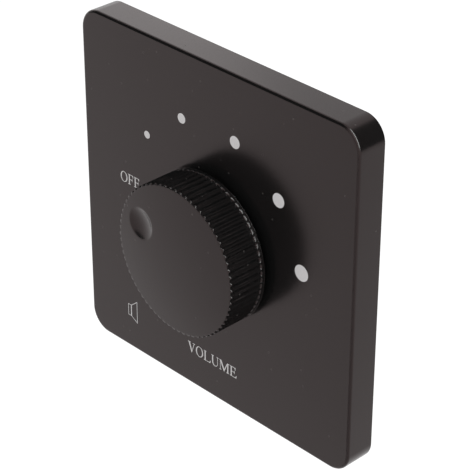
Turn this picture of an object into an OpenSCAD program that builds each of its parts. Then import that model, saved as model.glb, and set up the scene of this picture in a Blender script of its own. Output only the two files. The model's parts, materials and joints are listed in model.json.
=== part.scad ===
// Wall plate volume control: a fluted knob on a stepped switch with a tapped transformer.
// The plate's back rim lies on the wall plane y = 0, its front faces -Y and Z is up.
// The origin is on the knob's axis. Sizes are in millimetres.
// Each piece is drawn as seen from the front, x right, y up and z out of the wall,
// and facing_front() then stands it up.

/* [Front plate] */
// Width of the plate
plate_w = 86; // [80:0.5:92]
// Height of the plate
plate_h = 86; // [80:0.5:92]
// How far the plate stands out from the wall
plate_depth = 7.7; // [7:0.1:10]
// Radius of the plate's corners, seen from the front
plate_corner_r = 5.5; // [4:0.5:10]
// Radius of the plate's front edge
plate_edge_r = 0.7; // [0.3:0.1:1.2]
// Thickness of the plate's walls
plate_wall = 2; // [1.5:0.1:2.5]
// Diameter of the hole that the shaft comes through
plate_hole_d = 12; // [11:0.5:14]
// How far the plate's middle lies above the knob's axis
plate_raise = 1.1; // [0:0.1:2]

/* [Knob] */
// Diameter over the knob's ribs
knob_d = 36.5; // [33:0.5:40]
// Length of the fluted rim
flute_len = 9.5; // [8:0.1:12]
// Number of flutes round the rim
flute_count = 70; // [50:1:80]
// Radius of each flute
flute_r = 0.7; // [0.5:0.05:0.8]
// Depth of each flute
flute_depth = 0.45; // [0.3:0.05:0.6]
// Length of the plain collar behind the flutes
collar_len = 0.3; // [0.2:0.1:1.5]
// How far the thin flange behind the collar stands out past the ribs
flange_reach = 0.15; // [0.1:0.05:1]
// Thickness of the flange
flange_t = 0.8; // [0.4:0.1:1]
// Gap between the flange and the plate
knob_gap = 1; // [0.6:0.1:2]
// Height of the domed face over its rim
crown = 0.7; // [0.3:0.1:1.2]
// Thickness of the knob's rim wall
knob_rim_wall = 2.4; // [2:0.1:3]
// Thickness of the knob's front wall
knob_front_wall = 2.6; // [2:0.1:3.5]
// Diameter of the boss inside the knob
knob_boss_d = 18; // [16:0.5:20]
// Diameter of the pointer dimple
dimple_d = 7.8; // [6:0.1:9]
// Depth of the pointer dimple
dimple_depth = 0.75; // [0.6:0.05:1.4]
// Distance of the dimple from the knob's axis
dimple_offset = 11.7; // [10:0.1:12]
// Outer diameter of the brass insert
insert_d = 10; // [9:0.1:12]
// Thickness of the spring on the shaft's flat
spring_leaf_t = 0.4; // [0.3:0.05:0.5]
// Width of the spring on the shaft's flat
spring_leaf_w = 3.4; // [2.5:0.1:4]

/* [Dial] */
// Direction of the OFF position, in degrees up from the right
off_angle = 169; // [165:1:180]
// Click positions in one full turn
detent_count = 22; // [20:1:24]
// Steps from OFF to the loudest position
step_count = 10; // [8:1:11]
// Step at which the knob stands
rest_step = 1; // [0:1:8]

/* [Mounting frame] */
// Thickness of the frame
frame_t = 1.5; // [1.2:0.1:2]
// Distance between the two wall box screws
screw_spacing = 60.3; // [58:0.1:62]
// Width of the two screw slots
slot_w = 4.2; // [3.8:0.1:4.6]
// Length of the two screw slots
slot_len = 8; // [6:0.5:10]
// Width of each tab that holds the plate
tab_w = 12; // [10:0.5:16]
// Thickness of each tab
tab_t = 1.2; // [1:0.1:1.5]
// Width of the window in each tab
window_w = 8; // [6:0.5:9]
// Height of the window in each tab
window_h = 1.6; // [1.2:0.1:2]

/* [Shaft and bush] */
// Diameter of the shaft
shaft_d = 6; // [5:0.1:6.5]
// Depth of the shaft's flat
shaft_flat = 1.5; // [1:0.1:1.8]
// Diameter of the threaded bush
bush_d = 9; // [8.5:0.1:10]
// Diameter of the bush's flange
bush_flange_d = 13; // [12:0.1:14]
// Thickness of the bush's flange
bush_flange_t = 1.2; // [1:0.1:1.5]
// Length of bush that stands out of the nut
bush_proud = 0.7; // [0.4:0.1:1]
// Width of the nut across its flats
nut_af = 12; // [11.5:0.5:13]
// Thickness of the nut
nut_t = 2.2; // [1.8:0.1:2.5]
// Diameter of the washer under the nut
washer_d = 14; // [13:0.5:16]
// Thickness of the washer under the nut
washer_t = 0.6; // [0.5:0.1:0.8]
// Outer diameter of the retaining clip
clip_d = 9.4; // [8.5:0.1:10]
// Thickness of the retaining clip
clip_t = 0.8; // [0.6:0.1:1]

/* [Switch] */
// Diameter of the switch housing
housing_d = 26; // [25:0.5:28]
// Depth of the switch housing
housing_len = 10; // [9.5:0.1:12]
// Thickness of the housing's front wall
housing_front = 2; // [1.6:0.1:2.4]
// Thickness of the housing's round wall
housing_wall = 1.6; // [1.3:0.1:2]
// Distance of the fixing ears from the axis
ear_offset = 15.5; // [15.2:0.1:17]
// Radius of the fixing ears
ear_r = 2.8; // [2.4:0.1:3.2]
// Thickness of the ears on the housing
ear_t = 3; // [2.5:0.1:4]
// Wall of the click ring at its crests
ring_wall = 1.15; // [1:0.05:1.4]
// Depth of each click pocket
pocket_depth = 0.4; // [0.3:0.05:0.5]
// Diameter of the click balls
ball_d = 3; // [2.5:0.1:3.2]
// Space behind the rotor for the wiper
rear_space = 1.5; // [1.3:0.1:1.8]
// Thickness of the contact base
base_t = 1.6; // [1.2:0.1:2]
// Radius of the ring of fixed contacts
contact_r = 7; // [6.8:0.1:7.4]
// Diameter of each contact button
contact_d = 1.5; // [1.2:0.1:1.6]
// Height of each contact button
contact_h = 0.6; // [0.5:0.05:0.7]
// Diameter of the contact pins
pin_d = 0.9; // [0.7:0.05:1]

/* [Circuit board] */
// Width of the board
board_w = 50; // [48:0.5:54]
// Height of the board
board_h = 56; // [54:0.5:60]
// Thickness of the board
board_t = 1.6; // [1.2:0.1:2]
// Gap between the contact base and the board
board_gap = 3.4; // [3:0.1:5]
// Distance of the pillars from the board's edges
pillar_inset = 4; // [3.5:0.1:5]
// Width of the pillars across their flats
pillar_af = 5.5; // [5:0.1:6]
// Thread diameter of the pillar and board screws
pillar_screw_d = 3; // [2.5:0.1:3]

/* [Transformer] */
// Width of the core's outer limbs, the unit of the core's outline
limb = 5.8; // [5.4:0.05:6.2]
// Thickness of the lamination stack
stack_t = 10; // [8:0.5:11]
// Distance of the transformer's middle from the board's left edge
transformer_inset = 19; // [18:0.5:20]
// Height of the pin rails that the bobbin stands on
standoff = 1.5; // [1.3:0.1:2]
// Width of the pin rails
rail_w = 4; // [3:0.1:4.5]
// Length of the pin rails
rail_len = 19; // [18:0.5:20]
// Pins in each rail
rail_pins = 6; // [4:1:6]
// Wall of the bobbin's tube and flanges
bobbin_wall = 1; // [0.8:0.1:1.2]
// Thickness of the bracket round the core
bracket_t = 0.8; // [0.6:0.1:1]
// Width of the bracket's feet
foot_w = 8; // [6:0.5:9]
// Length of the bracket's feet
foot_len = 6; // [5.5:0.1:6.2]
// Thread diameter of the bracket screws
bracket_screw_d = 2.5; // [2:0.1:2.5]

/* [Terminals] */
// Number of wire terminals
terminal_count = 4; // [3:1:5]
// Distance from one terminal to the next
terminal_pitch = 5; // [4.8:0.1:5.5]
// Height of the terminal block on the board
terminal_h = 9; // [8.5:0.1:10]
// Depth of the terminal block behind the board
terminal_depth = 11; // [10.5:0.1:12]
// Distance of the block's middle from the board's top edge
terminal_inset = 11.5; // [10:0.5:12]
// Distance of the block's middle to the left of the knob's axis
terminal_shift = 3; // [0:0.5:5]
// Width and height of each wire entry
entry_w = 3.8; // [3.6:0.1:4]
// Depth of each wire entry
entry_depth = 7; // [6:0.1:7.5]
// Thread diameter of the terminal screws
terminal_screw_d = 2.5; // [2:0.1:2.6]

/* [Hidden] */
$fn = 48;

// Clearances
run_gap = 0.03;
press_gap = 0.05;
fit_gap = 0.1;
axial_gap = 0.3;
cut_over = 1;

// Plate and frame
inner_face_z = plate_depth - plate_wall;
frame_gap = 0.4;
frame_w = plate_w - 2 * (plate_wall + frame_gap);
frame_h = plate_h - 2 * (plate_wall + frame_gap);
inner_corner_r = plate_corner_r - plate_wall;
tab_clear = 0.8;
tab_top_z = inner_face_z - tab_clear;
window_z = (frame_t + tab_top_z) / 2;
ridge_bite = 0.5;
peg_d = 2.4;
peg_offset = (washer_d + housing_d) / 4;

// Knob and dial
knob_back_z = plate_depth + knob_gap;
collar_back_z = knob_back_z + flange_t;
flute_back_z = collar_back_z + collar_len;
knob_front_z = flute_back_z + flute_len;
knob_inner_z = knob_front_z - knob_front_wall;
rib_bevel = flute_depth + fit_gap;
face_r = knob_d / 2 - rib_bevel;
crown_r = (pow(face_r, 2) + pow(crown, 2)) / (2 * crown);
crown_steps = 12;
hub_recess = 0.4;
hub_back_z = knob_back_z + hub_recess;
dimple_sphere_r = (pow(dimple_d / 2, 2) + pow(dimple_depth, 2)) / (2 * dimple_depth);
dimple_sphere_z = face_z(dimple_offset) + dimple_sphere_r - dimple_depth;
step_angle = 360 / detent_count;
pointer_angle = off_angle - rest_step * step_angle;
loud_angle = off_angle - step_count * step_angle;

// Shaft, bush and clip
bush_front_z = frame_t + washer_t + nut_t + bush_proud;
clip_back_z = bush_front_z + fit_gap;
groove_depth = 0.6;
clip_mouth = 0.8;
shaft_front_z = knob_inner_z - axial_gap;
shaft_flat_x = shaft_d / 2 - shaft_flat;
spring_seat_x = shaft_flat_x + spring_leaf_t + 2 * press_gap;

// Switch
housing_bore_r = housing_d / 2 - housing_wall;
rotor_front_z = -(housing_front + bush_flange_t + axial_gap);
rotor_back_z = -(housing_len - rear_space);
rotor_middle_z = (rotor_front_z + rotor_back_z) / 2;
shaft_back_z = rotor_back_z - rear_space / 2;
drive_flat = 1;
rotor_flat_x = shaft_d / 2 - drive_flat;
crest_r = housing_bore_r - press_gap - ring_wall;
ball_offset = crest_r - ball_d / 2 - press_gap;
rotor_r = ball_offset + ball_d / 3;
pocket_room = 0.2;
pocket_r = ball_d / 2 + pocket_room;
pocket_offset = crest_r + pocket_depth - pocket_r;
ball_bore_d = ball_d + 2 * press_gap;
bore_floor_wall = 0.8;
ball_bore_floor = shaft_d / 2 + bore_floor_wall;
spring_room = 0.1;
spring_d = ball_d - 2 * spring_room;
spring_wire = 0.5;
spring_end = ball_offset - sqrt(pow(ball_d / 2, 2) - pow(spring_d / 2 - spring_wire, 2)) - press_gap;
stop_offset = (bush_flange_d / 2 + crest_r) / 2;
stop_pin_d = 1.8;
stop_lug_d = 2;
stop_reach = 2 * asin((stop_pin_d / 2 + stop_lug_d / 2 + fit_gap) / (2 * stop_offset));
wiper_t = 0.3;
wiper_arm_w = 2.2;
dome_inset = 0.15;
wiper_front_z = rotor_back_z;
wiper_back_z = wiper_front_z - wiper_t;
base_front_z = -housing_len;
base_back_z = base_front_z - base_t;
contact_top_z = base_front_z + contact_h;
slip_shaft_gap = 0.6;
slip_contact_gap = 1.2;
slip_in_r = shaft_d / 2 + slip_shaft_gap;
slip_out_r = contact_r - contact_d / 2 - slip_contact_gap;
slip_middle_r = (slip_in_r + slip_out_r) / 2;
ear_screw_d = 2;

// Circuit board
board_front_z = base_back_z - board_gap;
board_back_z = board_front_z - board_t;
pin_poke = 0.8;
pillar_x = board_w / 2 - pillar_inset;
pillar_y = board_h / 2 - pillar_inset;
pillar_screw_bite = 5;

// Transformer
core_w = 6 * limb;
core_h = 5 * limb;
core_gap = 0.2;
bobbin_half_w = 2 * limb - 2 * core_gap;
bobbin_half_h = 1.5 * limb - core_gap;
bobbin_half_t = stack_t / 2 + limb - 2 * core_gap;
rail_gap = 0.5;
transformer_x = transformer_inset - board_w / 2;
transformer_y = -(rail_gap + rail_w + bobbin_half_h);
transformer_z = board_back_z - standoff - bobbin_half_t;
core_front_z = transformer_z + stack_t / 2;
core_back_z = transformer_z - stack_t / 2;
rail_back_z = transformer_z + stack_t / 2 + rail_gap;
rail_pitch = (rail_len - rail_w) / (rail_pins - 1);
winding_gap = 0.3;
winding_corner_r = 2;
bracket_half_w = core_w / 2 + fit_gap;
foot_hole_x = bracket_half_w - foot_len / 2;

// Terminals
terminal_end_wall = 0.5;
terminal_w = terminal_count * terminal_pitch + 2 * terminal_end_wall;
terminal_y = board_h / 2 - terminal_inset;
terminal_back_z = board_back_z - terminal_depth;
entry_floor = 2.4;
entry_front_z = board_back_z - entry_floor;
entry_back_z = entry_front_z - entry_w;
entry_bottom_y = terminal_h / 2 - entry_depth;
cage_wall = 0.6;
cage_recess = 1.5;
cage_h = entry_depth - cage_recess;
cage_y = entry_bottom_y + fit_gap + cage_h / 2;
terminal_head_rim = 0.6;
terminal_head_d = terminal_screw_d + 2 * terminal_head_rim;
terminal_head_h = 1.6;
terminal_pin_d = 1;

// Screw heads, as multiples of the thread
head_ratio = 1.8;
head_height_ratio = 0.6;
recess_ratio = 1;
recess_width_ratio = 0.22;
recess_depth_ratio = 0.35;

// Stands a piece up: its z turns to -Y and its y to Z.
module facing_front() {
    rotate([90, 0, 0]) children();
}

// A flat outline drawn from one depth to another.
module span(back_z, front_z) {
    translate([0, 0, back_z]) linear_extrude(front_z - back_z) children();
}

// A rectangle with round corners.
module round_rect(w, h, r) {
    square([w - 2 * r, h], center = true);
    square([w, h - 2 * r], center = true);
    for (x = [-1, 1], y = [-1, 1])
        translate([x * (w / 2 - r), y * (h / 2 - r)]) circle(r);
}

// A circle with one side cut off at x = flat_x.
module d_outline(d, flat_x) {
    intersection() {
        circle(d = d);
        translate([-d, -d]) square([d + flat_x, 2 * d]);
    }
}

// Copies at the four corners of a rectangle.
module at_corners(x, y) {
    for (sx = [-1, 1], sy = [-1, 1])
        translate([sx * x, sy * y]) children();
}

// Copies along a direction in degrees, at a distance from the axis.
module at_polar(angle, distance) {
    rotate([0, 0, angle]) translate([distance, 0, 0]) children();
}

// A pan-head screw with a cross recess, its head on the side of +z above z = 0.
module pan_screw(d, shank_len) {
    head_h = d * head_height_ratio;
    recess_d = d * recess_depth_ratio;
    span(-shank_len, 0) circle(d = d);
    difference() {
        span(0, head_h) circle(d = d * head_ratio);
        for (turn = [0, 90])
            rotate([0, 0, turn]) span(head_h - recess_d, head_h + cut_over)
                square([d * recess_ratio, d * recess_width_ratio], center = true);
    }
}

// One corner of the plate, with the front edge rounded.
module plate_corner() {
    rotate_extrude($fn = 32) {
        square([plate_corner_r - plate_edge_r, plate_depth]);
        square([plate_corner_r, plate_depth - plate_edge_r]);
        intersection() {
            translate([plate_corner_r - plate_edge_r, plate_depth - plate_edge_r])
                circle(plate_edge_r, $fn = 32);
            square([plate_corner_r, plate_depth]);
        }
    }
}

// The ridge on one inner wall of the plate, which snaps into a tab's window. Its root is within the wall.
module plate_ridge(half_inside) {
    reach = frame_gap + ridge_bite;
    root = plate_wall / 2;
    ridge_w = window_w - 2 * fit_gap;
    ridge_h = window_h - 2 * fit_gap;
    translate([half_inside - reach, -ridge_w / 2, window_z - ridge_h / 2])
        cube([reach + root, ridge_w, ridge_h]);
}

module front_plate() {
    inside_w = plate_w - 2 * plate_wall;
    inside_h = plate_h - 2 * plate_wall;
    color([0.27, 0.25, 0.245]) facing_front() difference() {
        translate([0, plate_raise]) {
            difference() {
                hull() at_corners(plate_w / 2 - plate_corner_r, plate_h / 2 - plate_corner_r) plate_corner();
                span(-cut_over, inner_face_z) round_rect(inside_w, inside_h, inner_corner_r);
            }
            for (side = [0, 180]) {
                rotate([0, 0, side]) plate_ridge(inside_w / 2);
                rotate([0, 0, side + 90]) plate_ridge(inside_h / 2);
            }
        }
        span(-cut_over, plate_depth + cut_over) circle(d = plate_hole_d);
    }
}

// Height of the knob's domed face at a distance from its axis.
function face_z(r) = knob_front_z + crown - crown_r + sqrt(pow(crown_r, 2) - pow(r, 2));

// The knob's outer form, turned about its axis: flange, collar, rim and domed face.
module knob_turned() {
    rib_r = knob_d / 2;
    flange_r = rib_r + flange_reach;
    rotate_extrude() polygon(concat(
        [[0, knob_back_z],
        [flange_r, knob_back_z],
        [flange_r, collar_back_z],
        [rib_r, collar_back_z],
        [rib_r, knob_front_z - rib_bevel]],
        [for (i = [0 : crown_steps]) let (r = face_r * (1 - i / crown_steps)) [r, face_z(r)]]));
}

module knob() {
    rim_in_r = knob_d / 2 - knob_rim_wall;
    color([0.27, 0.25, 0.245]) facing_front() difference() {
        knob_turned();
        for (i = [0 : flute_count - 1])
            at_polar(pointer_angle + i * 360 / flute_count, knob_d / 2 + flute_r - flute_depth)
                span(flute_back_z, knob_front_z + cut_over) circle(flute_r);
        span(knob_back_z - cut_over, knob_inner_z) difference() {
            circle(rim_in_r);
            circle(d = knob_boss_d);
        }
        span(knob_back_z - cut_over, hub_back_z) circle(d = knob_boss_d + cut_over);
        span(hub_back_z - cut_over, knob_inner_z) circle(d = insert_d + 2 * press_gap);
        at_polar(pointer_angle, dimple_offset)
            translate([0, 0, dimple_sphere_z]) sphere(dimple_sphere_r, $fn = 96);
    }
}

module knob_insert() {
    color([0.78, 0.62, 0.3]) facing_front() rotate([0, 0, pointer_angle]) span(hub_back_z, knob_inner_z)
        difference() {
            circle(d = insert_d);
            d_outline(shaft_d + 2 * run_gap, spring_seat_x);
        }
}

module knob_spring() {
    leaf_x = shaft_flat_x + press_gap;
    color([0.7, 0.71, 0.72]) facing_front() rotate([0, 0, pointer_angle])
        span(hub_back_z + axial_gap, knob_inner_z - axial_gap)
            translate([leaf_x, -spring_leaf_w / 2]) square([spring_leaf_t, spring_leaf_w]);
}

module shaft() {
    groove_d = shaft_d - 2 * groove_depth;
    groove_front_z = clip_back_z + clip_t + fit_gap;
    color([0.72, 0.73, 0.75]) facing_front() rotate([0, 0, pointer_angle]) {
        span(shaft_back_z, rotor_front_z) d_outline(shaft_d, rotor_flat_x);
        span(rotor_front_z, clip_back_z - fit_gap) circle(d = shaft_d);
        span(clip_back_z - fit_gap, groove_front_z) circle(d = groove_d);
        span(groove_front_z, hub_back_z) circle(d = shaft_d);
        span(hub_back_z, shaft_front_z) d_outline(shaft_d, shaft_flat_x);
    }
}

module shaft_clip() {
    inner_d = shaft_d - 2 * groove_depth + 2 * press_gap;
    mouth_w = inner_d * clip_mouth;
    color([0.35, 0.36, 0.38]) facing_front() rotate([0, 0, pointer_angle])
        span(clip_back_z, clip_back_z + clip_t) difference() {
            circle(d = clip_d);
            circle(d = inner_d);
            translate([0, -mouth_w / 2]) square([clip_d, mouth_w]);
        }
}

// One tab of the frame, standing at the frame's edge with its window.
module frame_tab(half_outside) {
    difference() {
        translate([half_outside - tab_t, -tab_w / 2, 0]) cube([tab_t, tab_w, tab_top_z]);
        translate([half_outside, 0, window_z]) cube([3 * tab_t, window_w, window_h], center = true);
    }
}

module mounting_frame() {
    color([0.76, 0.77, 0.78]) facing_front() {
        span(0, frame_t) difference() {
            translate([0, plate_raise]) round_rect(frame_w, frame_h, inner_corner_r);
            circle(d = bush_d + 2 * fit_gap);
            translate([0, -peg_offset]) circle(d = peg_d + 2 * fit_gap);
            at_corners(pillar_x, pillar_y) circle(d = pillar_screw_d + 2 * fit_gap);
            for (side = [-1, 1])
                translate([side * screw_spacing / 2, 0]) round_slot(slot_len, slot_w);
        }
        translate([0, plate_raise])
            for (side = [0, 180]) {
                rotate([0, 0, side]) frame_tab(frame_w / 2);
                rotate([0, 0, side + 90]) frame_tab(frame_h / 2);
            }
    }
}

// A slot with round ends, along x.
module round_slot(len, w) {
    square([len - w, w], center = true);
    for (end = [-1, 1])
        translate([end * (len - w) / 2, 0]) circle(d = w);
}

// The round outline of the switch with its two ears.
module switch_outline() {
    circle(d = housing_d);
    square([2 * ear_offset, 2 * ear_r], center = true);
    for (side = [-1, 1])
        translate([side * ear_offset, 0]) circle(ear_r);
}

// Copies at the switch's two ears.
module at_ears() {
    for (side = [-1, 1])
        translate([side * ear_offset, 0]) children();
}

module switch_housing() {
    stop_back_z = rotor_front_z + axial_gap;
    color([0.16, 0.16, 0.17]) facing_front() {
        difference() {
            union() {
                span(-housing_len, 0) circle(d = housing_d);
                span(-housing_len, ear_t - housing_len) switch_outline();
            }
            span(-housing_len - cut_over, -housing_front) circle(housing_bore_r);
            span(-housing_len, cut_over) circle(d = bush_d + 2 * press_gap);
            span(-housing_len - cut_over, ear_t) at_ears() circle(d = ear_screw_d + 2 * press_gap);
        }
        translate([0, -peg_offset]) span(-housing_front / 2, frame_t) circle(d = peg_d);
        for (angle = [off_angle + stop_reach, loud_angle - stop_reach])
            at_polar(angle, stop_offset) span(stop_back_z, -housing_front / 2) circle(d = stop_pin_d);
    }
}

module switch_bush() {
    color([0.8, 0.66, 0.36]) facing_front() {
        span(-housing_front, bush_front_z) difference() {
            circle(d = bush_d);
            circle(d = shaft_d + 2 * run_gap);
        }
        span(-housing_front - bush_flange_t, -housing_front) difference() {
            circle(d = bush_flange_d);
            circle(d = shaft_d + 2 * run_gap);
        }
    }
}

module bush_washer() {
    color([0.74, 0.75, 0.76]) facing_front() span(frame_t, frame_t + washer_t) difference() {
        circle(d = washer_d);
        circle(d = bush_d + 2 * fit_gap);
    }
}

module bush_nut() {
    nut_back_z = frame_t + washer_t;
    color([0.74, 0.75, 0.76]) facing_front() span(nut_back_z, nut_back_z + nut_t) difference() {
        circle(d = nut_af / cos(30), $fn = 6);
        circle(d = bush_d + 2 * press_gap);
    }
}

module detent_ring() {
    color([0.85, 0.84, 0.8]) facing_front() span(-housing_len, -housing_front) difference() {
        circle(housing_bore_r - press_gap);
        circle(crest_r);
        for (i = [0 : detent_count - 1])
            at_polar(off_angle + i * step_angle, pocket_offset) circle(pocket_r);
    }
}

// Copies on the two sides of the rotor, each lying along its radial bore.
module at_ball_bores() {
    for (side = [0, 180])
        rotate([0, 0, pointer_angle + side]) translate([0, 0, rotor_middle_z]) rotate([0, 90, 0]) children();
}

module rotor() {
    color([0.88, 0.87, 0.84]) facing_front() {
        difference() {
            span(rotor_back_z, rotor_front_z) difference() {
                circle(rotor_r);
                rotate([0, 0, pointer_angle]) d_outline(shaft_d + 2 * run_gap, rotor_flat_x + run_gap);
            }
            at_ball_bores() span(ball_bore_floor, rotor_r + cut_over) circle(d = ball_bore_d);
        }
        at_polar(pointer_angle, stop_offset)
            span(rotor_front_z - axial_gap, -housing_front - axial_gap) circle(d = stop_lug_d);
    }
}

module detent_springs() {
    color([0.68, 0.69, 0.7]) facing_front() at_ball_bores() span(ball_bore_floor, spring_end) difference() {
        circle(d = spring_d);
        circle(d = spring_d - 2 * spring_wire);
    }
}

module detent_balls() {
    color([0.8, 0.81, 0.82]) facing_front() at_ball_bores() translate([0, 0, ball_offset]) sphere(d = ball_d);
}

module wiper() {
    dome_d = contact_d - 2 * dome_inset;
    dome_back_z = contact_top_z + fit_gap;
    color([0.83, 0.6, 0.34]) facing_front() rotate([0, 0, pointer_angle]) {
        span(wiper_back_z, wiper_front_z) difference() {
            union() {
                circle(slip_out_r);
                translate([0, -wiper_arm_w / 2]) square([contact_r, wiper_arm_w]);
                translate([contact_r, 0]) circle(d = wiper_arm_w);
            }
            circle(d = shaft_d + 2 * fit_gap);
        }
        for (x = [contact_r, -slip_middle_r])
            translate([x, 0]) span(dome_back_z, wiper_back_z) circle(d = dome_d);
    }
}

// The slip ring's pin stands straight up from the axis, clear of the contacts.
module slip_ring() {
    color([0.83, 0.6, 0.34]) facing_front() {
        span(base_front_z, contact_top_z) difference() {
            circle(slip_out_r);
            circle(slip_in_r);
        }
        at_polar(90, slip_middle_r) span(board_back_z - pin_poke, base_front_z) circle(d = pin_d);
    }
}

// Copies at each fixed contact, from OFF to the loudest position.
module at_contacts() {
    for (i = [0 : step_count])
        at_polar(off_angle - i * step_angle, contact_r) children();
}

module contact_base() {
    color([0.62, 0.45, 0.26]) facing_front() span(base_back_z, base_front_z) difference() {
        switch_outline();
        at_ears() circle(d = ear_screw_d + 2 * fit_gap);
        at_contacts() circle(d = pin_d + 2 * press_gap);
        at_polar(90, slip_middle_r) circle(d = pin_d + 2 * press_gap);
    }
}

module fixed_contacts() {
    color([0.83, 0.6, 0.34]) facing_front() at_contacts() {
        span(base_front_z, contact_top_z) circle(d = contact_d);
        span(board_back_z - pin_poke, base_front_z) circle(d = pin_d);
    }
}

module switch_screws() {
    color([0.72, 0.73, 0.75]) facing_front() translate([0, 0, base_back_z]) at_ears()
        rotate([180, 0, 0]) pan_screw(ear_screw_d, base_t + ear_t);
}

module board_pillars() {
    color([0.82, 0.68, 0.38]) facing_front() at_corners(pillar_x, pillar_y)
        span(board_front_z, 0) difference() {
            circle(d = pillar_af / cos(30), $fn = 6);
            circle(d = pillar_screw_d + 2 * press_gap);
        }
}

module pillar_screws() {
    color([0.72, 0.73, 0.75]) facing_front() translate([0, 0, frame_t]) at_corners(pillar_x, pillar_y)
        pan_screw(pillar_screw_d, frame_t + pillar_screw_bite);
}

module board_screws() {
    color([0.72, 0.73, 0.75]) facing_front() translate([0, 0, board_back_z]) at_corners(pillar_x, pillar_y)
        rotate([180, 0, 0]) pan_screw(pillar_screw_d, board_t + pillar_screw_bite);
}

// Copies at each pin of the bobbin's two rails.
module at_rail_pins() {
    rail_offset = bobbin_half_h + rail_w / 2;
    for (side = [-1, 1], i = [0 : rail_pins - 1])
        translate([(i - (rail_pins - 1) / 2) * rail_pitch, side * rail_offset]) children();
}

// Copies at each wire terminal.
module at_terminals() {
    for (i = [0 : terminal_count - 1])
        translate([(i - (terminal_count - 1) / 2) * terminal_pitch - terminal_shift, terminal_y]) children();
}

// Copies at the bracket's two feet, the first one mirrored to the left.
module at_feet() {
    translate([transformer_x, transformer_y])
        for (side = [0, 1])
            mirror([side, 0, 0]) children();
}

module circuit_board() {
    color([0.1, 0.36, 0.2]) facing_front() span(board_back_z, board_front_z) difference() {
        square([board_w, board_h], center = true);
        at_corners(pillar_x, pillar_y) circle(d = pillar_screw_d + 2 * fit_gap);
        at_contacts() circle(d = pin_d + 2 * fit_gap);
        at_polar(90, slip_middle_r) circle(d = pin_d + 2 * fit_gap);
        translate([transformer_x, transformer_y]) at_rail_pins() circle(d = pin_d + 2 * fit_gap);
        at_terminals() translate([0, cage_y]) circle(d = terminal_pin_d + 2 * fit_gap);
        at_feet() translate([foot_hole_x, 0]) circle(d = bracket_screw_d + 2 * fit_gap);
    }
}

module transformer_core() {
    color([0.36, 0.37, 0.39]) facing_front() translate([transformer_x, transformer_y])
        span(core_back_z, core_front_z) difference() {
            square([core_w, core_h], center = true);
            for (side = [-1, 1])
                translate([side * 1.5 * limb, 0]) square([limb, 3 * limb], center = true);
        }
}

// A block about the transformer's middle: width, height and depth.
module transformer_block(w, h, t) {
    translate([0, 0, transformer_z]) cube([w, h, t], center = true);
}

module bobbin() {
    opening_w = 2 * limb + 2 * core_gap;
    opening_t = stack_t + 2 * core_gap;
    flange_y = bobbin_half_h - bobbin_wall / 2;
    color([0.87, 0.85, 0.78]) facing_front() translate([transformer_x, transformer_y]) difference() {
        union() {
            transformer_block(opening_w + 2 * bobbin_wall, 2 * bobbin_half_h, opening_t + 2 * bobbin_wall);
            for (side = [-1, 1]) {
                translate([0, side * flange_y])
                    transformer_block(2 * bobbin_half_w, bobbin_wall, 2 * bobbin_half_t);
                translate([0, side * (flange_y + rail_w / 2)]) span(rail_back_z, board_back_z)
                    square([rail_len, rail_w + bobbin_wall], center = true);
            }
        }
        transformer_block(opening_w, 2 * core_h, opening_t);
        at_rail_pins() span(rail_back_z, board_back_z + cut_over) circle(d = pin_d + 2 * press_gap);
    }
}

// The taped winding, a plain closed form wound round the bobbin's tube.
module winding() {
    tube_w = 2 * (limb + core_gap + bobbin_wall + fit_gap);
    tube_t = stack_t + 2 * (core_gap + bobbin_wall + fit_gap);
    half_h = bobbin_half_h - bobbin_wall - fit_gap;
    color([0.83, 0.7, 0.2]) facing_front() translate([transformer_x, transformer_y, transformer_z])
        rotate([90, 0, 0]) span(-half_h, half_h) difference() {
            round_rect(2 * (bobbin_half_w - winding_gap), 2 * (bobbin_half_t - winding_gap),
                winding_corner_r);
            square([tube_w, tube_t], center = true);
        }
}

module bobbin_pins() {
    color([0.8, 0.8, 0.8]) facing_front() translate([transformer_x, transformer_y]) at_rail_pins()
        span(rail_back_z, board_front_z + pin_poke) circle(d = pin_d);
}

module core_bracket() {
    outer_half_w = bracket_half_w + bracket_t;
    inner_top = core_h / 2 + fit_gap;
    color([0.74, 0.75, 0.77]) facing_front() {
        translate([transformer_x, transformer_y]) span(core_back_z, core_front_z) difference() {
            translate([-outer_half_w, -core_h / 2])
                square([2 * outer_half_w, core_h / 2 + inner_top + bracket_t]);
            translate([-bracket_half_w, -core_h]) square([2 * bracket_half_w, core_h + inner_top]);
        }
        at_feet() {
            span(core_front_z, board_back_z)
                translate([bracket_half_w, -foot_w / 2]) square([bracket_t, foot_w]);
            span(board_back_z - bracket_t, board_back_z) difference() {
                translate([bracket_half_w - foot_len, -foot_w / 2]) square([foot_len + bracket_t, foot_w]);
                translate([foot_hole_x, 0]) circle(d = bracket_screw_d + 2 * press_gap);
            }
        }
    }
}

module bracket_screws() {
    color([0.72, 0.73, 0.75]) facing_front() at_feet() translate([foot_hole_x, 0, board_front_z])
        pan_screw(bracket_screw_d, board_t + 2 * bracket_t);
}

module terminal_block() {
    well_d = terminal_head_d + 2 * fit_gap;
    color([0.12, 0.42, 0.26]) facing_front() difference() {
        translate([-terminal_shift, terminal_y]) span(terminal_back_z, board_back_z)
            square([terminal_w, terminal_h], center = true);
        at_terminals() {
            span(entry_back_z, entry_front_z) translate([-entry_w / 2, entry_bottom_y])
                square([entry_w, entry_depth + cut_over]);
            translate([0, cage_y]) {
                span(terminal_back_z - cut_over, entry_back_z + fit_gap) circle(d = well_d);
                span(entry_front_z - fit_gap, board_back_z + cut_over)
                    circle(d = terminal_pin_d + 2 * press_gap);
            }
        }
    }
}

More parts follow.
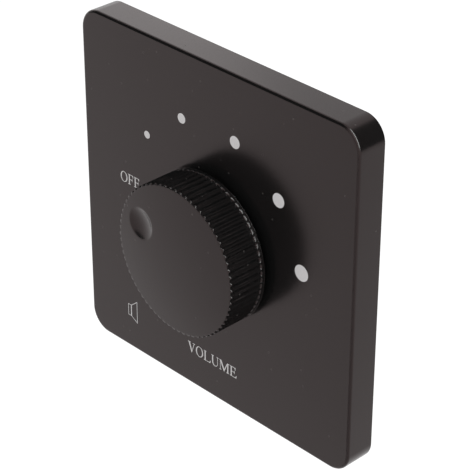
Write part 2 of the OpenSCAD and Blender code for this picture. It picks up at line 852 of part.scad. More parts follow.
// Each wire cage is a short square tube with a threaded side, and its pin goes through the board.
module terminal_cages() {
    cage_w = entry_w - 2 * fit_gap;
    cage_middle_z = (entry_front_z + entry_back_z) / 2;
    bore_w = cage_w - 2 * cage_wall;
    color([0.78, 0.79, 0.8]) facing_front() at_terminals() translate([0, cage_y]) {
        difference() {
            translate([0, 0, cage_middle_z]) cube([cage_w, cage_h, cage_w], center = true);
            translate([0, 0, cage_middle_z]) cube([bore_w, cage_h + cut_over, bore_w], center = true);
            span(entry_back_z, cage_middle_z) circle(d = terminal_screw_d + 2 * press_gap);
        }
        span(entry_front_z - fit_gap - cage_wall / 2, board_front_z + pin_poke) circle(d = terminal_pin_d);
    }
}

module terminal_screws() {
    head_back_z = entry_back_z - terminal_head_h;
    tip_z = entry_back_z + fit_gap + 2 * cage_wall;
    slot_cut = terminal_head_h / 2;
    color([0.72, 0.73, 0.75]) facing_front() at_terminals() translate([0, cage_y]) {
        span(entry_back_z, tip_z) circle(d = terminal_screw_d);
        difference() {
            span(head_back_z, entry_back_z) circle(d = terminal_head_d);
            span(head_back_z - cut_over, head_back_z + slot_cut)
                square([2 * terminal_head_d, terminal_head_d / 4], center = true);
        }
    }
}

front_plate();
knob();
knob_insert();
knob_spring();
shaft();
shaft_clip();
mounting_frame();
switch_housing();
switch_bush();
bush_washer();
bush_nut();
detent_ring();
rotor();
detent_springs();
detent_balls();
wiper();
slip_ring();
contact_base();
fixed_contacts();
switch_screws();
board_pillars();
pillar_screws();
circuit_board();
board_screws();
transformer_core();
bobbin();
winding();
bobbin_pins();
core_bracket();
bracket_screws();
terminal_block();
terminal_cages();
terminal_screws();
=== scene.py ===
"""Dresses the wall plate volume control: its meshes, finishes, printed marks, light and camera."""

import json
import logging
import math
from dataclasses import dataclass, field
from enum import Enum
from typing import Any, Optional, Sequence, Union

import bmesh
import bpy
from mathutils import Matrix, Vector


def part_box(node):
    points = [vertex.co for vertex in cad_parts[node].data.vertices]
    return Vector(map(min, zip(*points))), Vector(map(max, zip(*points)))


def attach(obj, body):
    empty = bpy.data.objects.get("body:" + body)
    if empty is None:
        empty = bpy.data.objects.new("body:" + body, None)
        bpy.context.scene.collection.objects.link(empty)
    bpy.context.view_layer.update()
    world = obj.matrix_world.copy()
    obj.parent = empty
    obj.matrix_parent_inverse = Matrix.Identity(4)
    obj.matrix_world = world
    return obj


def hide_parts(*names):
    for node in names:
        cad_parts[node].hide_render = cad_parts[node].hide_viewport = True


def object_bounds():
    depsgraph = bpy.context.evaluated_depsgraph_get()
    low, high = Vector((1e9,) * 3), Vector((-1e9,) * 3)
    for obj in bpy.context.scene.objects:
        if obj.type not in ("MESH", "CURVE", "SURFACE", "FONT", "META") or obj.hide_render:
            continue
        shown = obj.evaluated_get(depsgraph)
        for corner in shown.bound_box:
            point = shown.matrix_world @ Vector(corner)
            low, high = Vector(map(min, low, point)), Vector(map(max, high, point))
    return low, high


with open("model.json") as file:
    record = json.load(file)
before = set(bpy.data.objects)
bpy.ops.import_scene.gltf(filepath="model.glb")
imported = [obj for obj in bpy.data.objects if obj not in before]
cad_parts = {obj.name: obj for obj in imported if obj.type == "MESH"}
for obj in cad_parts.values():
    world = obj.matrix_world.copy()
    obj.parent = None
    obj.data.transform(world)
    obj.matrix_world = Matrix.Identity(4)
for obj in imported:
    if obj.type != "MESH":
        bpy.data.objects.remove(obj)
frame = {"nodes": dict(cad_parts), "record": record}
CAD_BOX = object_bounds()

LOG = logging.getLogger("volume_control")
MM = 0.001
MERGE_DISTANCE = 0.001 * MM
# Pieces are drawn as seen from the front, x right, y up and z out of the wall, and then stood up.
STAND_UP = Matrix.Rotation(math.pi / 2, 4, "X")
Z_AXIS = Vector((0.0, 0.0, 1.0))
TURNED_STEPS = 16
CREASE_ANGLE = math.radians(32)
FACING_COSINE = 0.99
# The knob's OFF direction and the switch's step, which the board's contacts share.
OFF_ANGLE = math.radians(169)
STEP_ANGLE = 2 * math.pi / 22

Colour = tuple[float, float, float]
Point = tuple[float, float]
Mesh = bmesh.types.BMesh
Vert = bmesh.types.BMVert
Edge = bmesh.types.BMEdge
Face = bmesh.types.BMFace


class Body(Enum):
    """The bodies that pieces ride on."""

    FIXED = "base"
    TURNING = "control"


# Shader maths


class Tone:
    """One shader socket. Arithmetic on a tone adds Math nodes to its tree."""

    def __init__(self, bench: "Bench", socket: bpy.types.NodeSocket) -> None:
        """Wraps an output socket of the bench's tree."""
        self.bench = bench
        self.socket = socket

    def _math(self, operation: str, first: "Scalar", second: "Scalar") -> "Tone":
        """Adds one Math node."""
        return self.bench.node("ShaderNodeMath", {"operation": operation}, {0: first, 1: second})

    def __add__(self, other: "Scalar") -> "Tone":
        """Adds."""
        return self._math("ADD", self, other)

    def __radd__(self, other: "Scalar") -> "Tone":
        """Adds, with the tone on the right."""
        return self._math("ADD", other, self)

    def __sub__(self, other: "Scalar") -> "Tone":
        """Subtracts."""
        return self._math("SUBTRACT", self, other)

    def __rsub__(self, other: "Scalar") -> "Tone":
        """Subtracts, with the tone on the right."""
        return self._math("SUBTRACT", other, self)

    def __mul__(self, other: "Scalar") -> "Tone":
        """Multiplies."""
        return self._math("MULTIPLY", self, other)

    def __rmul__(self, other: "Scalar") -> "Tone":
        """Multiplies, with the tone on the right."""
        return self._math("MULTIPLY", other, self)

    def __truediv__(self, other: "Scalar") -> "Tone":
        """Divides."""
        return self._math("DIVIDE", self, other)

    def __mod__(self, other: "Scalar") -> "Tone":
        """Wraps round after each whole number of the other value."""
        return self._math("FLOORED_MODULO", self, other)

    def larger(self, other: "Scalar") -> "Tone":
        """Takes the larger of the two values."""
        return self._math("MAXIMUM", self, other)

    def fade(self, low: float, high: float) -> "Tone":
        """Eases from 0 at low to 1 at high.

        Args:
            low: Value at which the fade starts.
            high: Value at which it ends; below low, the fade runs the other way.

        Returns:
            The eased tone, from 0 to 1.
        """
        if low > high:
            return 1.0 - self.fade(high, low)
        sockets = {"Value": self, "From Min": low, "From Max": high}
        return self.bench.node("ShaderNodeMapRange", {"interpolation_type": "SMOOTHSTEP"}, sockets)

    def swing(self, amount: float) -> "Tone":
        """Turns a pattern from 0 to 1 into a swing about 0."""
        return (self - 0.5) * amount


Scalar = Union[Tone, float]
Tint = Union[Tone, Colour]


class Bench:
    """The node tree of one material or world, with one method that makes any node."""

    def __init__(self, tree: bpy.types.NodeTree) -> None:
        """Keeps the tree."""
        self.tree = tree

    def node(self, kind: str, settings: Optional[dict[str, Any]] = None,
             sockets: Optional[dict[Union[int, str], Any]] = None, output: Union[int, str] = 0) -> Tone:
        """Adds a node.

        Args:
            kind: The node's type.
            settings: Its own properties, set first.
            sockets: Values or tones for its inputs, by index or name.
            output: Which output the returned tone wraps.

        Returns:
            The chosen output as a tone.
        """
        made = self.tree.nodes.new(kind)
        for key, value in (settings or {}).items():
            setattr(made, key, value)
        for key, value in (sockets or {}).items():
            self.feed(made.inputs[key], value)
        return Tone(self, made.outputs[output])

    def feed(self, socket: bpy.types.NodeSocket, value: Any) -> None:
        """Links a tone to an input, or sets the input's own value.

        Args:
            socket: The input.
            value: The tone, or a number, colour or vector.
        """
        if isinstance(value, Tone):
            self.tree.links.new(value.socket, socket)
        elif socket.type == "RGBA":
            socket.default_value = (*value, 1.0)
        else:
            socket.default_value = value

    @property
    def shader(self) -> bpy.types.Node:
        """The tree's own shader."""
        return self.tree.nodes["Principled BSDF"]

    def dress(self, sockets: dict[str, Any]) -> None:
        """Feeds the tree's own shader, socket by socket."""
        for name, value in sockets.items():
            self.feed(self.shader.inputs[name], value)

    def place(self) -> Tone:
        """Gives the object coordinates, in metres."""
        return self.node("ShaderNodeTexCoord", output="Object")

    def stretched(self, stretch: Colour) -> Tone:
        """Gives the object coordinates with each axis multiplied."""
        return self.node("ShaderNodeVectorMath", {"operation": "MULTIPLY"}, {0: self.place(), 1: stretch})

    def along(self, axis: str) -> Tone:
        """Gives one object coordinate, in metres."""
        return self.node("ShaderNodeSeparateXYZ", sockets={0: self.place()}, output=axis)

    def noise(self, grain: float, detail: float = 2.0, stretch: Colour = (1.0, 1.0, 1.0)) -> Tone:
        """Adds soft noise.

        Args:
            grain: Size of one blotch in metres.
            detail: Number of finer layers.
            stretch: Factors on the axes; a small one draws the noise out along its axis.

        Returns:
            The noise, mostly from 0.3 to 0.7.
        """
        sockets = {"Vector": self.stretched(stretch), "Scale": 1.0 / grain, "Detail": detail}
        return self.node("ShaderNodeTexNoise", sockets=sockets, output="Fac")

    def specks(self, spacing: float, radius: float, core: float = 0.5) -> Tone:
        """Adds sparse round specks.

        Args:
            spacing: Distance between the points that may show a speck.
            radius: Radius of a speck.
            core: Share of the radius within which the mask is full.

        Returns:
            A mask, 1 on a speck.
        """
        sockets = {"Vector": self.place(), "Scale": 1.0 / spacing}
        distance = self.node("ShaderNodeTexVoronoi", sockets=sockets, output="Distance")
        return distance.fade(radius / spacing, core * radius / spacing)

    def blend(self, amount: Scalar, first: Tint, second: Tint) -> Tone:
        """Mixes two colours, all first at 0 and all second at 1."""
        return self.node("ShaderNodeMix", {"data_type": "RGBA"}, {0: amount, 6: first, 7: second}, output=2)

    def bump(self, height: Scalar, depth: float) -> Tone:
        """Turns a height from 0 to 1 into a bumped normal, with the depth in metres."""
        sockets = {"Height": height, "Distance": depth, "Strength": 1.0}
        return self.node("ShaderNodeBump", sockets=sockets)


# Finishes


def shaded(colour: Colour, factor: float) -> Colour:
    """Gives a colour made lighter or darker by a factor."""
    return tuple(min(1.0, channel * factor) for channel in colour)


def new_material(name: str) -> tuple[bpy.types.Material, Bench]:
    """Makes a material, and the bench that its nodes are made on.

    Args:
        name: The material's name.

    Returns:
        The material and the bench.
    """
    material = bpy.data.materials.new(name)
    material.use_nodes = True
    return material, Bench(material.node_tree)


@dataclass(frozen=True)
class Finish:
    """What every finish has: a name, its colour in linear light and its roughness."""

    name: str
    colour: Colour
    roughness: float

    def material(self) -> bpy.types.Material:
        """Gives the finish's material, which is made the first time.

        Returns:
            The material.
        """
        made = bpy.data.materials.get(self.name)
        if made is None:
            made, bench = new_material(self.name)
            bench.dress(self.sockets(bench))
        return made

    def sockets(self, bench: Bench) -> dict[str, Any]:
        """Gives what a finish puts on the shader's sockets, by name."""
        raise NotImplementedError

    def mottled(self, bench: Bench, pattern: Tone, shades: Point) -> Tone:
        """Gives the colour, from its first shade where the pattern is 0 to its second where it is 1."""
        return bench.blend(pattern, *(shaded(self.colour, shade) for shade in shades))


@dataclass(frozen=True)
class SatinMoulding(Finish):
    """Smooth dark moulding with a faint mottle, a fine skin, a little dust and a painted warm tint on its
    reflections.
    """

    shades: Point = (0.84, 1.16)
    mottle_grain: float = 18 * MM
    mottle_swing: float = 0.05
    skin_grain: float = 0.22 * MM
    skin_depth: float = 0.004 * MM
    skin_swing: float = 0.06
    dust_spacing: float = 3.8 * MM
    dust_radius: float = 0.27 * MM
    dust_colour: Colour = (0.08, 0.076, 0.073)
    dust_cover: float = 0.7
    dust_roughness: float = 0.3
    ior: float = 1.44
    # Painted reflection colour: this warm tint on every reflection stands in for warm light from the
    # surroundings, while the moulding's own colour stays neutral.
    painted_reflection_tint: Colour = (1.0, 0.72, 0.71)

    def sockets(self, bench: Bench) -> dict[str, Any]:
        """Gives what the shader's sockets hold, by name.

        Args:
            bench: Where nodes are made.

        Returns:
            Numbers, colours and tones, by socket.
        """
        mottle = bench.noise(self.mottle_grain, detail=3.0)
        skin = bench.noise(self.skin_grain, detail=2.0)
        dust = bench.specks(self.dust_spacing, self.dust_radius)
        clean = self.mottled(bench, mottle, self.shades)
        rough = self.roughness + mottle.swing(self.mottle_swing) + skin.swing(self.skin_swing)
        return {"Base Color": bench.blend(dust * self.dust_cover, clean, self.dust_colour),
                "Roughness": rough + dust * self.dust_roughness,
                "Normal": bench.bump(skin, self.skin_depth),
                "IOR": self.ior,
                "Specular Tint": self.painted_reflection_tint}


@dataclass(frozen=True)
class PrintedInk(Finish):
    """Pad-printed ink with a slightly uneven film."""

    film_grain: float = 0.35 * MM
    film_depth: float = 0.006 * MM
    film_swing: float = 0.2
    thin_range: Point = (0.42, 0.3)
    thin_cover: float = 0.35
    thin_shade: float = 0.6

    def sockets(self, bench: Bench) -> dict[str, Any]:
        """Gives what the shader's sockets hold, by name.

        Args:
            bench: Where nodes are made.

        Returns:
            Numbers, colours and tones, by socket.
        """
        film = bench.noise(self.film_grain, detail=3.0)
        thin = film.fade(*self.thin_range) * self.thin_cover
        return {"Base Color": bench.blend(thin, self.colour, shaded(self.colour, self.thin_shade)),
                "Roughness": self.roughness + film.swing(self.film_swing),
                "Normal": bench.bump(film, self.film_depth)}


@dataclass(frozen=True)
class Metal(Finish):
    """Plated or bare metal with drawn lines and faint stains."""

    shades: Point = (0.88, 1.12)
    line_grain: float = 0.12 * MM
    line_stretch: Colour = (1.0, 1.0, 0.04)
    line_depth: float = 0.004 * MM
    line_swing: float = 0.16
    stain: Colour = (0.5, 0.48, 0.44)
    stain_grain: float = 6 * MM
    stain_range: Point = (0.5, 0.75)
    stain_cover: float = 0.35
    stain_roughness: float = 0.3

    def sockets(self, bench: Bench) -> dict[str, Any]:
        """Gives what the shader's sockets hold, by name.

        Args:
            bench: Where nodes are made.

        Returns:
            Numbers, colours and tones, by socket.
        """
        lines = bench.noise(self.line_grain, detail=3.0, stretch=self.line_stretch)
        stained = bench.noise(self.stain_grain, detail=4.0).fade(*self.stain_range) * self.stain_cover
        rough = self.roughness + lines.swing(self.line_swing)
        return {"Base Color": bench.blend(stained, self.mottled(bench, lines, self.shades), self.stain),
                "Roughness": rough + stained * self.stain_roughness,
                "Metallic": 1.0,
                "Normal": bench.bump(lines, self.line_depth)}


@dataclass(frozen=True)
class Moulding(Finish):
    """Moulded plastic with a fine skin and a soft mottle."""

    shades: Point = (0.88, 1.12)
    mottle_grain: float = 7 * MM
    skin_grain: float = 0.3 * MM
    skin_depth: float = 0.008 * MM
    skin_swing: float = 0.15

    def sockets(self, bench: Bench) -> dict[str, Any]:
        """Gives what the shader's sockets hold, by name.

        Args:
            bench: Where nodes are made.

        Returns:
            Numbers, colours and tones, by socket.
        """
        mottle = bench.noise(self.mottle_grain, detail=3.0)
        skin = bench.noise(self.skin_grain, detail=3.0)
        return {"Base Color": self.mottled(bench, mottle, self.shades),
                "Roughness": self.roughness + skin.swing(self.skin_swing),
                "Normal": bench.bump(skin, self.skin_depth)}


@dataclass(frozen=True)
class Laminate(Finish):
    """Pressed sheet: a woven or paper ground under a skin of resin or solder mask."""

    weave_pitch: float = 0.5 * MM
    weave_depth: float = 0.01 * MM
    weave_cover: float = 0.25
    fleck: Colour = (0.05, 0.22, 0.09)
    cloud_grain: float = 5 * MM
    cloud_range: Point = (0.45, 0.8)
    cloud_cover: float = 0.4
    cloud_swing: float = 0.2

    def sockets(self, bench: Bench) -> dict[str, Any]:
        """Gives what the shader's sockets hold, by name.

        Args:
            bench: Where nodes are made.

        Returns:
            Numbers, colours and tones, by socket.
        """
        turn = 2 * math.pi / self.weave_pitch
        across, upward = (bench.node("ShaderNodeMath", {"operation": "SINE"}, {0: bench.along(axis) * turn})
                          for axis in ("X", "Z"))
        weave = across * upward * 0.5 + 0.5
        cloud = bench.noise(self.cloud_grain, detail=4.0)
        flecked = weave * self.weave_cover + cloud.fade(*self.cloud_range) * self.cloud_cover
        return {"Base Color": bench.blend(flecked, self.colour, self.fleck),
                "Roughness": self.roughness + cloud.swing(self.cloud_swing),
                "Normal": bench.bump(weave, self.weave_depth)}


@dataclass(frozen=True)
class SteelStack(Finish):
    """The edges of a stack of thin steel sheets, lying one behind the other along Y."""

    shades: Point = (0.7, 1.4)
    metallic: float = 0.85
    sheet: float = 0.5 * MM
    seam_share: float = 0.16
    seam_depth: float = 0.05 * MM
    seam_shade: float = 0.25
    seam_cover: float = 0.7
    seam_roughness: float = 0.2
    rub_grain: float = 0.25 * MM
    rub_stretch: Colour = (0.2, 1.0, 0.2)
    rub_swing: float = 0.25
    rust: Colour = (0.16, 0.09, 0.05)
    rust_grain: float = 4 * MM
    rust_range: Point = (0.55, 0.75)
    rust_cover: float = 0.4

    def sockets(self, bench: Bench) -> dict[str, Any]:
        """Gives what the shader's sockets hold, by name.

        Args:
            bench: Where nodes are made.

        Returns:
            Numbers, colours and tones, by socket.
        """
        within = (bench.along("Y") / self.sheet) % 1.0
        seam = within.fade(self.seam_share, 0.0).larger(within.fade(1.0 - self.seam_share, 1.0))
        rub = bench.noise(self.rub_grain, detail=3.0, stretch=self.rub_stretch)
        rusty = bench.noise(self.rust_grain, detail=4.0).fade(*self.rust_range) * self.rust_cover
        sheets = bench.blend(rusty, self.mottled(bench, rub, self.shades), self.rust)
        rough = self.roughness + rub.swing(self.rub_swing)
        dark = shaded(self.colour, self.seam_shade)
        return {"Base Color": bench.blend(seam * self.seam_cover, sheets, dark),
                "Roughness": rough + seam * self.seam_roughness,
                "Metallic": self.metallic,
                "Normal": bench.bump(1.0 - seam, self.seam_depth)}


@dataclass(frozen=True)
class WoundTape(Finish):
    """Tape wound in layers, with the wire's turns faintly pressed through it."""

    shades: Point = (0.8, 1.15)
    turn_pitch: float = 0.55 * MM
    turn_depth: float = 0.05 * MM
    wander_grain: float = 3 * MM
    wander: float = 0.3
    wire: Colour = (0.32, 0.12, 0.02)
    wire_cover: float = 0.3
    cloud_grain: float = 5 * MM
    cloud_swing: float = 0.15

    def sockets(self, bench: Bench) -> dict[str, Any]:
        """Gives what the shader's sockets hold, by name.

        Args:
            bench: Where nodes are made.

        Returns:
            Numbers, colours and tones, by socket.
        """
        wander = bench.noise(self.wander_grain, detail=2.0) * self.wander
        within = (bench.along("Z") / self.turn_pitch + wander) % 1.0
        turn = within.fade(0.0, 0.5) - within.fade(0.5, 1.0)
        cloud = bench.noise(self.cloud_grain, detail=3.0)
        tape = self.mottled(bench, cloud, self.shades)
        return {"Base Color": bench.blend((1.0 - turn) * self.wire_cover, tape, self.wire),
                "Roughness": self.roughness + cloud.swing(self.cloud_swing),
                "Normal": bench.bump(turn, self.turn_depth)}


CHARCOAL = SatinMoulding("satin_charcoal", (0.0066, 0.0067, 0.0067), 0.22)
KNOB_CHARCOAL = SatinMoulding("satin_charcoal_knob", (0.0078, 0.008, 0.008), 0.2, dust_spacing=3.2 * MM)
INK = PrintedInk("printed_ink", (0.69, 0.67, 0.67), 0.5)
BRASS = Metal("turned_brass", (0.58, 0.39, 0.12), 0.3, stain=(0.3, 0.17, 0.06))
SPRING_STEEL = Metal("spring_steel_strip", (0.19, 0.2, 0.21), 0.38, stain=(0.1, 0.08, 0.07))
PLATED_STEEL = Metal("bright_plated_steel", (0.56, 0.57, 0.59), 0.26, stain=(0.42, 0.4, 0.34))
ZINC_SHEET = Metal("zinc_plated_sheet", (0.5, 0.52, 0.54), 0.36, stain=(0.4, 0.41, 0.4))
BRONZE = Metal("contact_bronze_strip", (0.6, 0.3, 0.11), 0.3, stain=(0.3, 0.14, 0.06))
TINNED = Metal("tinned_wire_pin", (0.6, 0.61, 0.62), 0.3, stain=(0.42, 0.42, 0.41))
BLACK_MOULDING = Moulding("black_moulding", (0.016, 0.016, 0.0175), 0.42)
IVORY_MOULDING = Moulding("ivory_nylon", (0.68, 0.64, 0.52), 0.45)
GREEN_MOULDING = Moulding("green_moulding", (0.012, 0.14, 0.05), 0.4)
BROWN_LAMINATE = Laminate("brown_paper_laminate", (0.24, 0.11, 0.038), 0.42, fleck=(0.34, 0.19, 0.08))
GREEN_BOARD = Laminate("green_masked_board", (0.01, 0.1, 0.032), 0.3)
CORE_STACK = SteelStack("steel_stack", (0.15, 0.155, 0.165), 0.45)
TAPE = WoundTape("yellow_winding_tape", (0.66, 0.42, 0.03), 0.28)
SOLDER = Metal("soft_solder", (0.6, 0.61, 0.61), 0.3, stain=(0.4, 0.37, 0.3))
MASKED_TRACK = Moulding("masked_copper_track", (0.03, 0.2, 0.06), 0.26, shades=(0.8, 1.2))
BOARD_PRINT = PrintedInk("board_print", (0.72, 0.73, 0.7), 0.55)


# Mesh helpers


def edges_of(verts: Sequence[Vert]) -> list[Edge]:
    """Lists the edges whose two ends are among the vertices."""
    linked = dict.fromkeys(edge for vert in verts for edge in vert.link_edges)
    return [edge for edge in linked if set(edge.verts) <= set(verts)]


def made_of(result: dict[str, Any], kind: type, key: str = "geom") -> list[Any]:
    """Picks one kind of element from an operator's result."""
    return [element for element in result[key] if isinstance(element, kind)]


def add_path(bm: Mesh, points: Sequence[Sequence[float]], closed: bool) -> tuple[list[Vert], list[Edge]]:
    """Draws edges from point to point, and back to the first where it is closed.

    Args:
        bm: The mesh that gets them.
        points: The points in order.
        closed: Whether the last point is joined to the first.

    Returns:
        The vertices and the edges.
    """
    verts = [bm.verts.new(point) for point in points]
    ends = verts[1:] + verts[:1] if closed else verts[1:]
    return verts, [bm.edges.new(pair) for pair in zip(verts, ends)]


def add_ring(bm: Mesh, centre: Sequence[float], radius: float, segments: int) -> list[Edge]:
    """Draws an open circle that faces along z.

    Args:
        bm: The mesh that gets it.
        centre: Its middle.
        radius: Its radius.
        segments: Number of its edges.

    Returns:
        The circle's edges.
    """
    place = Matrix.Translation(centre)
    result = bmesh.ops.create_circle(bm, cap_ends=False, radius=radius, segments=segments, matrix=place)
    return edges_of(result["verts"])


def fill_between(bm: Mesh, edges: Sequence[Edge]) -> None:
    """Fills a flat region that outlines bound, with holes where outlines lie inside."""
    bmesh.ops.triangle_fill(bm, use_beauty=True, use_dissolve=False, edges=list(edges), normal=Z_AXIS)


def round_over(bm: Mesh, edges: Sequence[Edge], radius: float, segments: int) -> None:
    """Rounds edges over."""
    bmesh.ops.bevel(bm, geom=list(edges), offset=radius, offset_type="OFFSET", affect="EDGES",
                    segments=segments, profile=0.5, material=-1)


def raise_faces(bm: Mesh, height: float) -> None:
    """Gives all flat faces of a mesh a thickness along z."""
    result = bmesh.ops.extrude_face_region(bm, geom=bm.faces[:], use_keep_orig=True)
    bmesh.ops.translate(bm, vec=(0, 0, height), verts=made_of(result, Vert))


def extruded(bm: Mesh, ring: Sequence[Edge]) -> tuple[list[Vert], list[Edge]]:
    """Draws a wall from a ring, and gives the vertices and edges of the new ring, still to be moved."""
    result = bmesh.ops.extrude_edge_only(bm, edges=list(ring))
    return made_of(result, Vert), made_of(result, Edge)


def next_ring(bm: Mesh, ring: Sequence[Edge], height: float, radius: float, kept: float = 0.0) -> list[Edge]:
    """Draws a wall from a ring round the z axis to a new ring.

    Args:
        bm: The mesh.
        ring: The edges that the wall starts from.
        height: The new ring's place along z.
        radius: Radius of the circle that the new ring lies on, or close to.
        kept: How much of each point's distance from that circle is kept, from 0 to 1.

    Returns:
        The new ring's edges.
    """
    verts, edges = extruded(bm, ring)
    for vert in verts:
        reach = vert.co.xy.length
        scale = (radius + (reach - radius) * kept) / reach
        vert.co = (vert.co.x * scale, vert.co.y * scale, height)
    return edges


def add_turned(bm: Mesh, place: Point, profile: Sequence[Point], closed: bool = False) -> None:
    """Turns a profile round an axis that stands along z.

    Args:
        bm: The mesh that gets it.
        place: Where the axis stands.
        profile: Distances from the axis and heights, in order.
        closed: Whether the last point is joined to the first.
    """
    points = [(place[0] + radius, place[1], height) for radius, height in profile]
    verts, edges = add_path(bm, points, closed)
    bmesh.ops.spin(bm, geom=verts + edges, cent=(*place, 0.0), axis=Z_AXIS, angle=2 * math.pi,
                   steps=TURNED_STEPS, use_merge=True)


def add_strip(bm: Mesh, path: Sequence[Point], width: float, height: float) -> None:
    """Lays a flat strip along a path.

    Args:
        bm: The mesh that gets it.
        path: The strip's left edge, point by point.
        width: How far the strip reaches to the right of the path.
        height: Its thickness along z.
    """
    _, edges = add_path(bm, [(x, y, 0.0) for x, y in path], closed=False)
    wall = bmesh.ops.extrude_edge_only(bm, edges=edges)
    bmesh.ops.translate(bm, vec=(0, 0, height), verts=made_of(wall, Vert))
    bm.normal_update()
    bmesh.ops.solidify(bm, geom=made_of(wall, Face), thickness=width)


def add_frames(bm: Mesh, outlines: Sequence[Sequence[Point]], line: float) -> None:
    """Draws thin flat frames.

    Args:
        bm: The mesh that gets them, which holds nothing else yet.
        outlines: The corners of each frame, in order; frames may share corners.
        line: Width of the frames' lines.
    """
    corners: dict[Point, Vert] = {}
    panes = []
    for outline in outlines:
        for x, y in outline:
            if (x, y) not in corners:
                corners[(x, y)] = bm.verts.new((x, y, 0.0))
        panes.append(bm.faces.new([corners[point] for point in outline]))
    bm.normal_update()
    bmesh.ops.inset_individual(bm, faces=panes, thickness=line, use_even_offset=True)
    bmesh.ops.delete(bm, geom=panes, context="FACES")


def add_object(name: str, bm: Mesh, material: bpy.types.Material) -> bpy.types.Object:
    """Makes an object of a mesh, which is used up.

    Args:
        name: The object's name.
        bm: Its mesh.
        material: Its material.

    Returns:
        The new object.
    """
    mesh = bpy.data.meshes.new(name)
    bm.to_mesh(mesh)
    bm.free()
    mesh.materials.append(material)
    made = bpy.data.objects.new(name, mesh)
    bpy.context.scene.collection.objects.link(made)
    return made


def add_piece(name: str, bm: Mesh, finish: Finish, body: Body,
              replaces: Sequence[str] = ()) -> None:
    """Stands a mesh up, dresses it and lets it ride on a body.

    Args:
        name: The piece's name.
        bm: Its mesh as seen from the front, which is used up.
        finish: Its finish.
        body: The body that it rides on.
        replaces: The nodes that it stands for.
    """
    bmesh.ops.remove_doubles(bm, verts=bm.verts[:], dist=MERGE_DISTANCE)
    bmesh.ops.recalc_face_normals(bm, faces=bm.faces[:])
    bmesh.ops.transform(bm, matrix=STAND_UP, verts=bm.verts[:])
    piece = add_object(name, bm, finish.material())
    mesh = piece.data
    mesh.shade_smooth()
    mesh.set_sharp_from_angle(angle=CREASE_ANGLE)
    evener = piece.modifiers.new("even_normals", "WEIGHTED_NORMAL")
    evener.keep_sharp = True
    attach(piece, body.value)
    if replaces:
        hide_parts(*replaces)
    LOG.info("piece %s: %d faces, rides on %s", name, len(mesh.polygons), body.value)


# Front plate


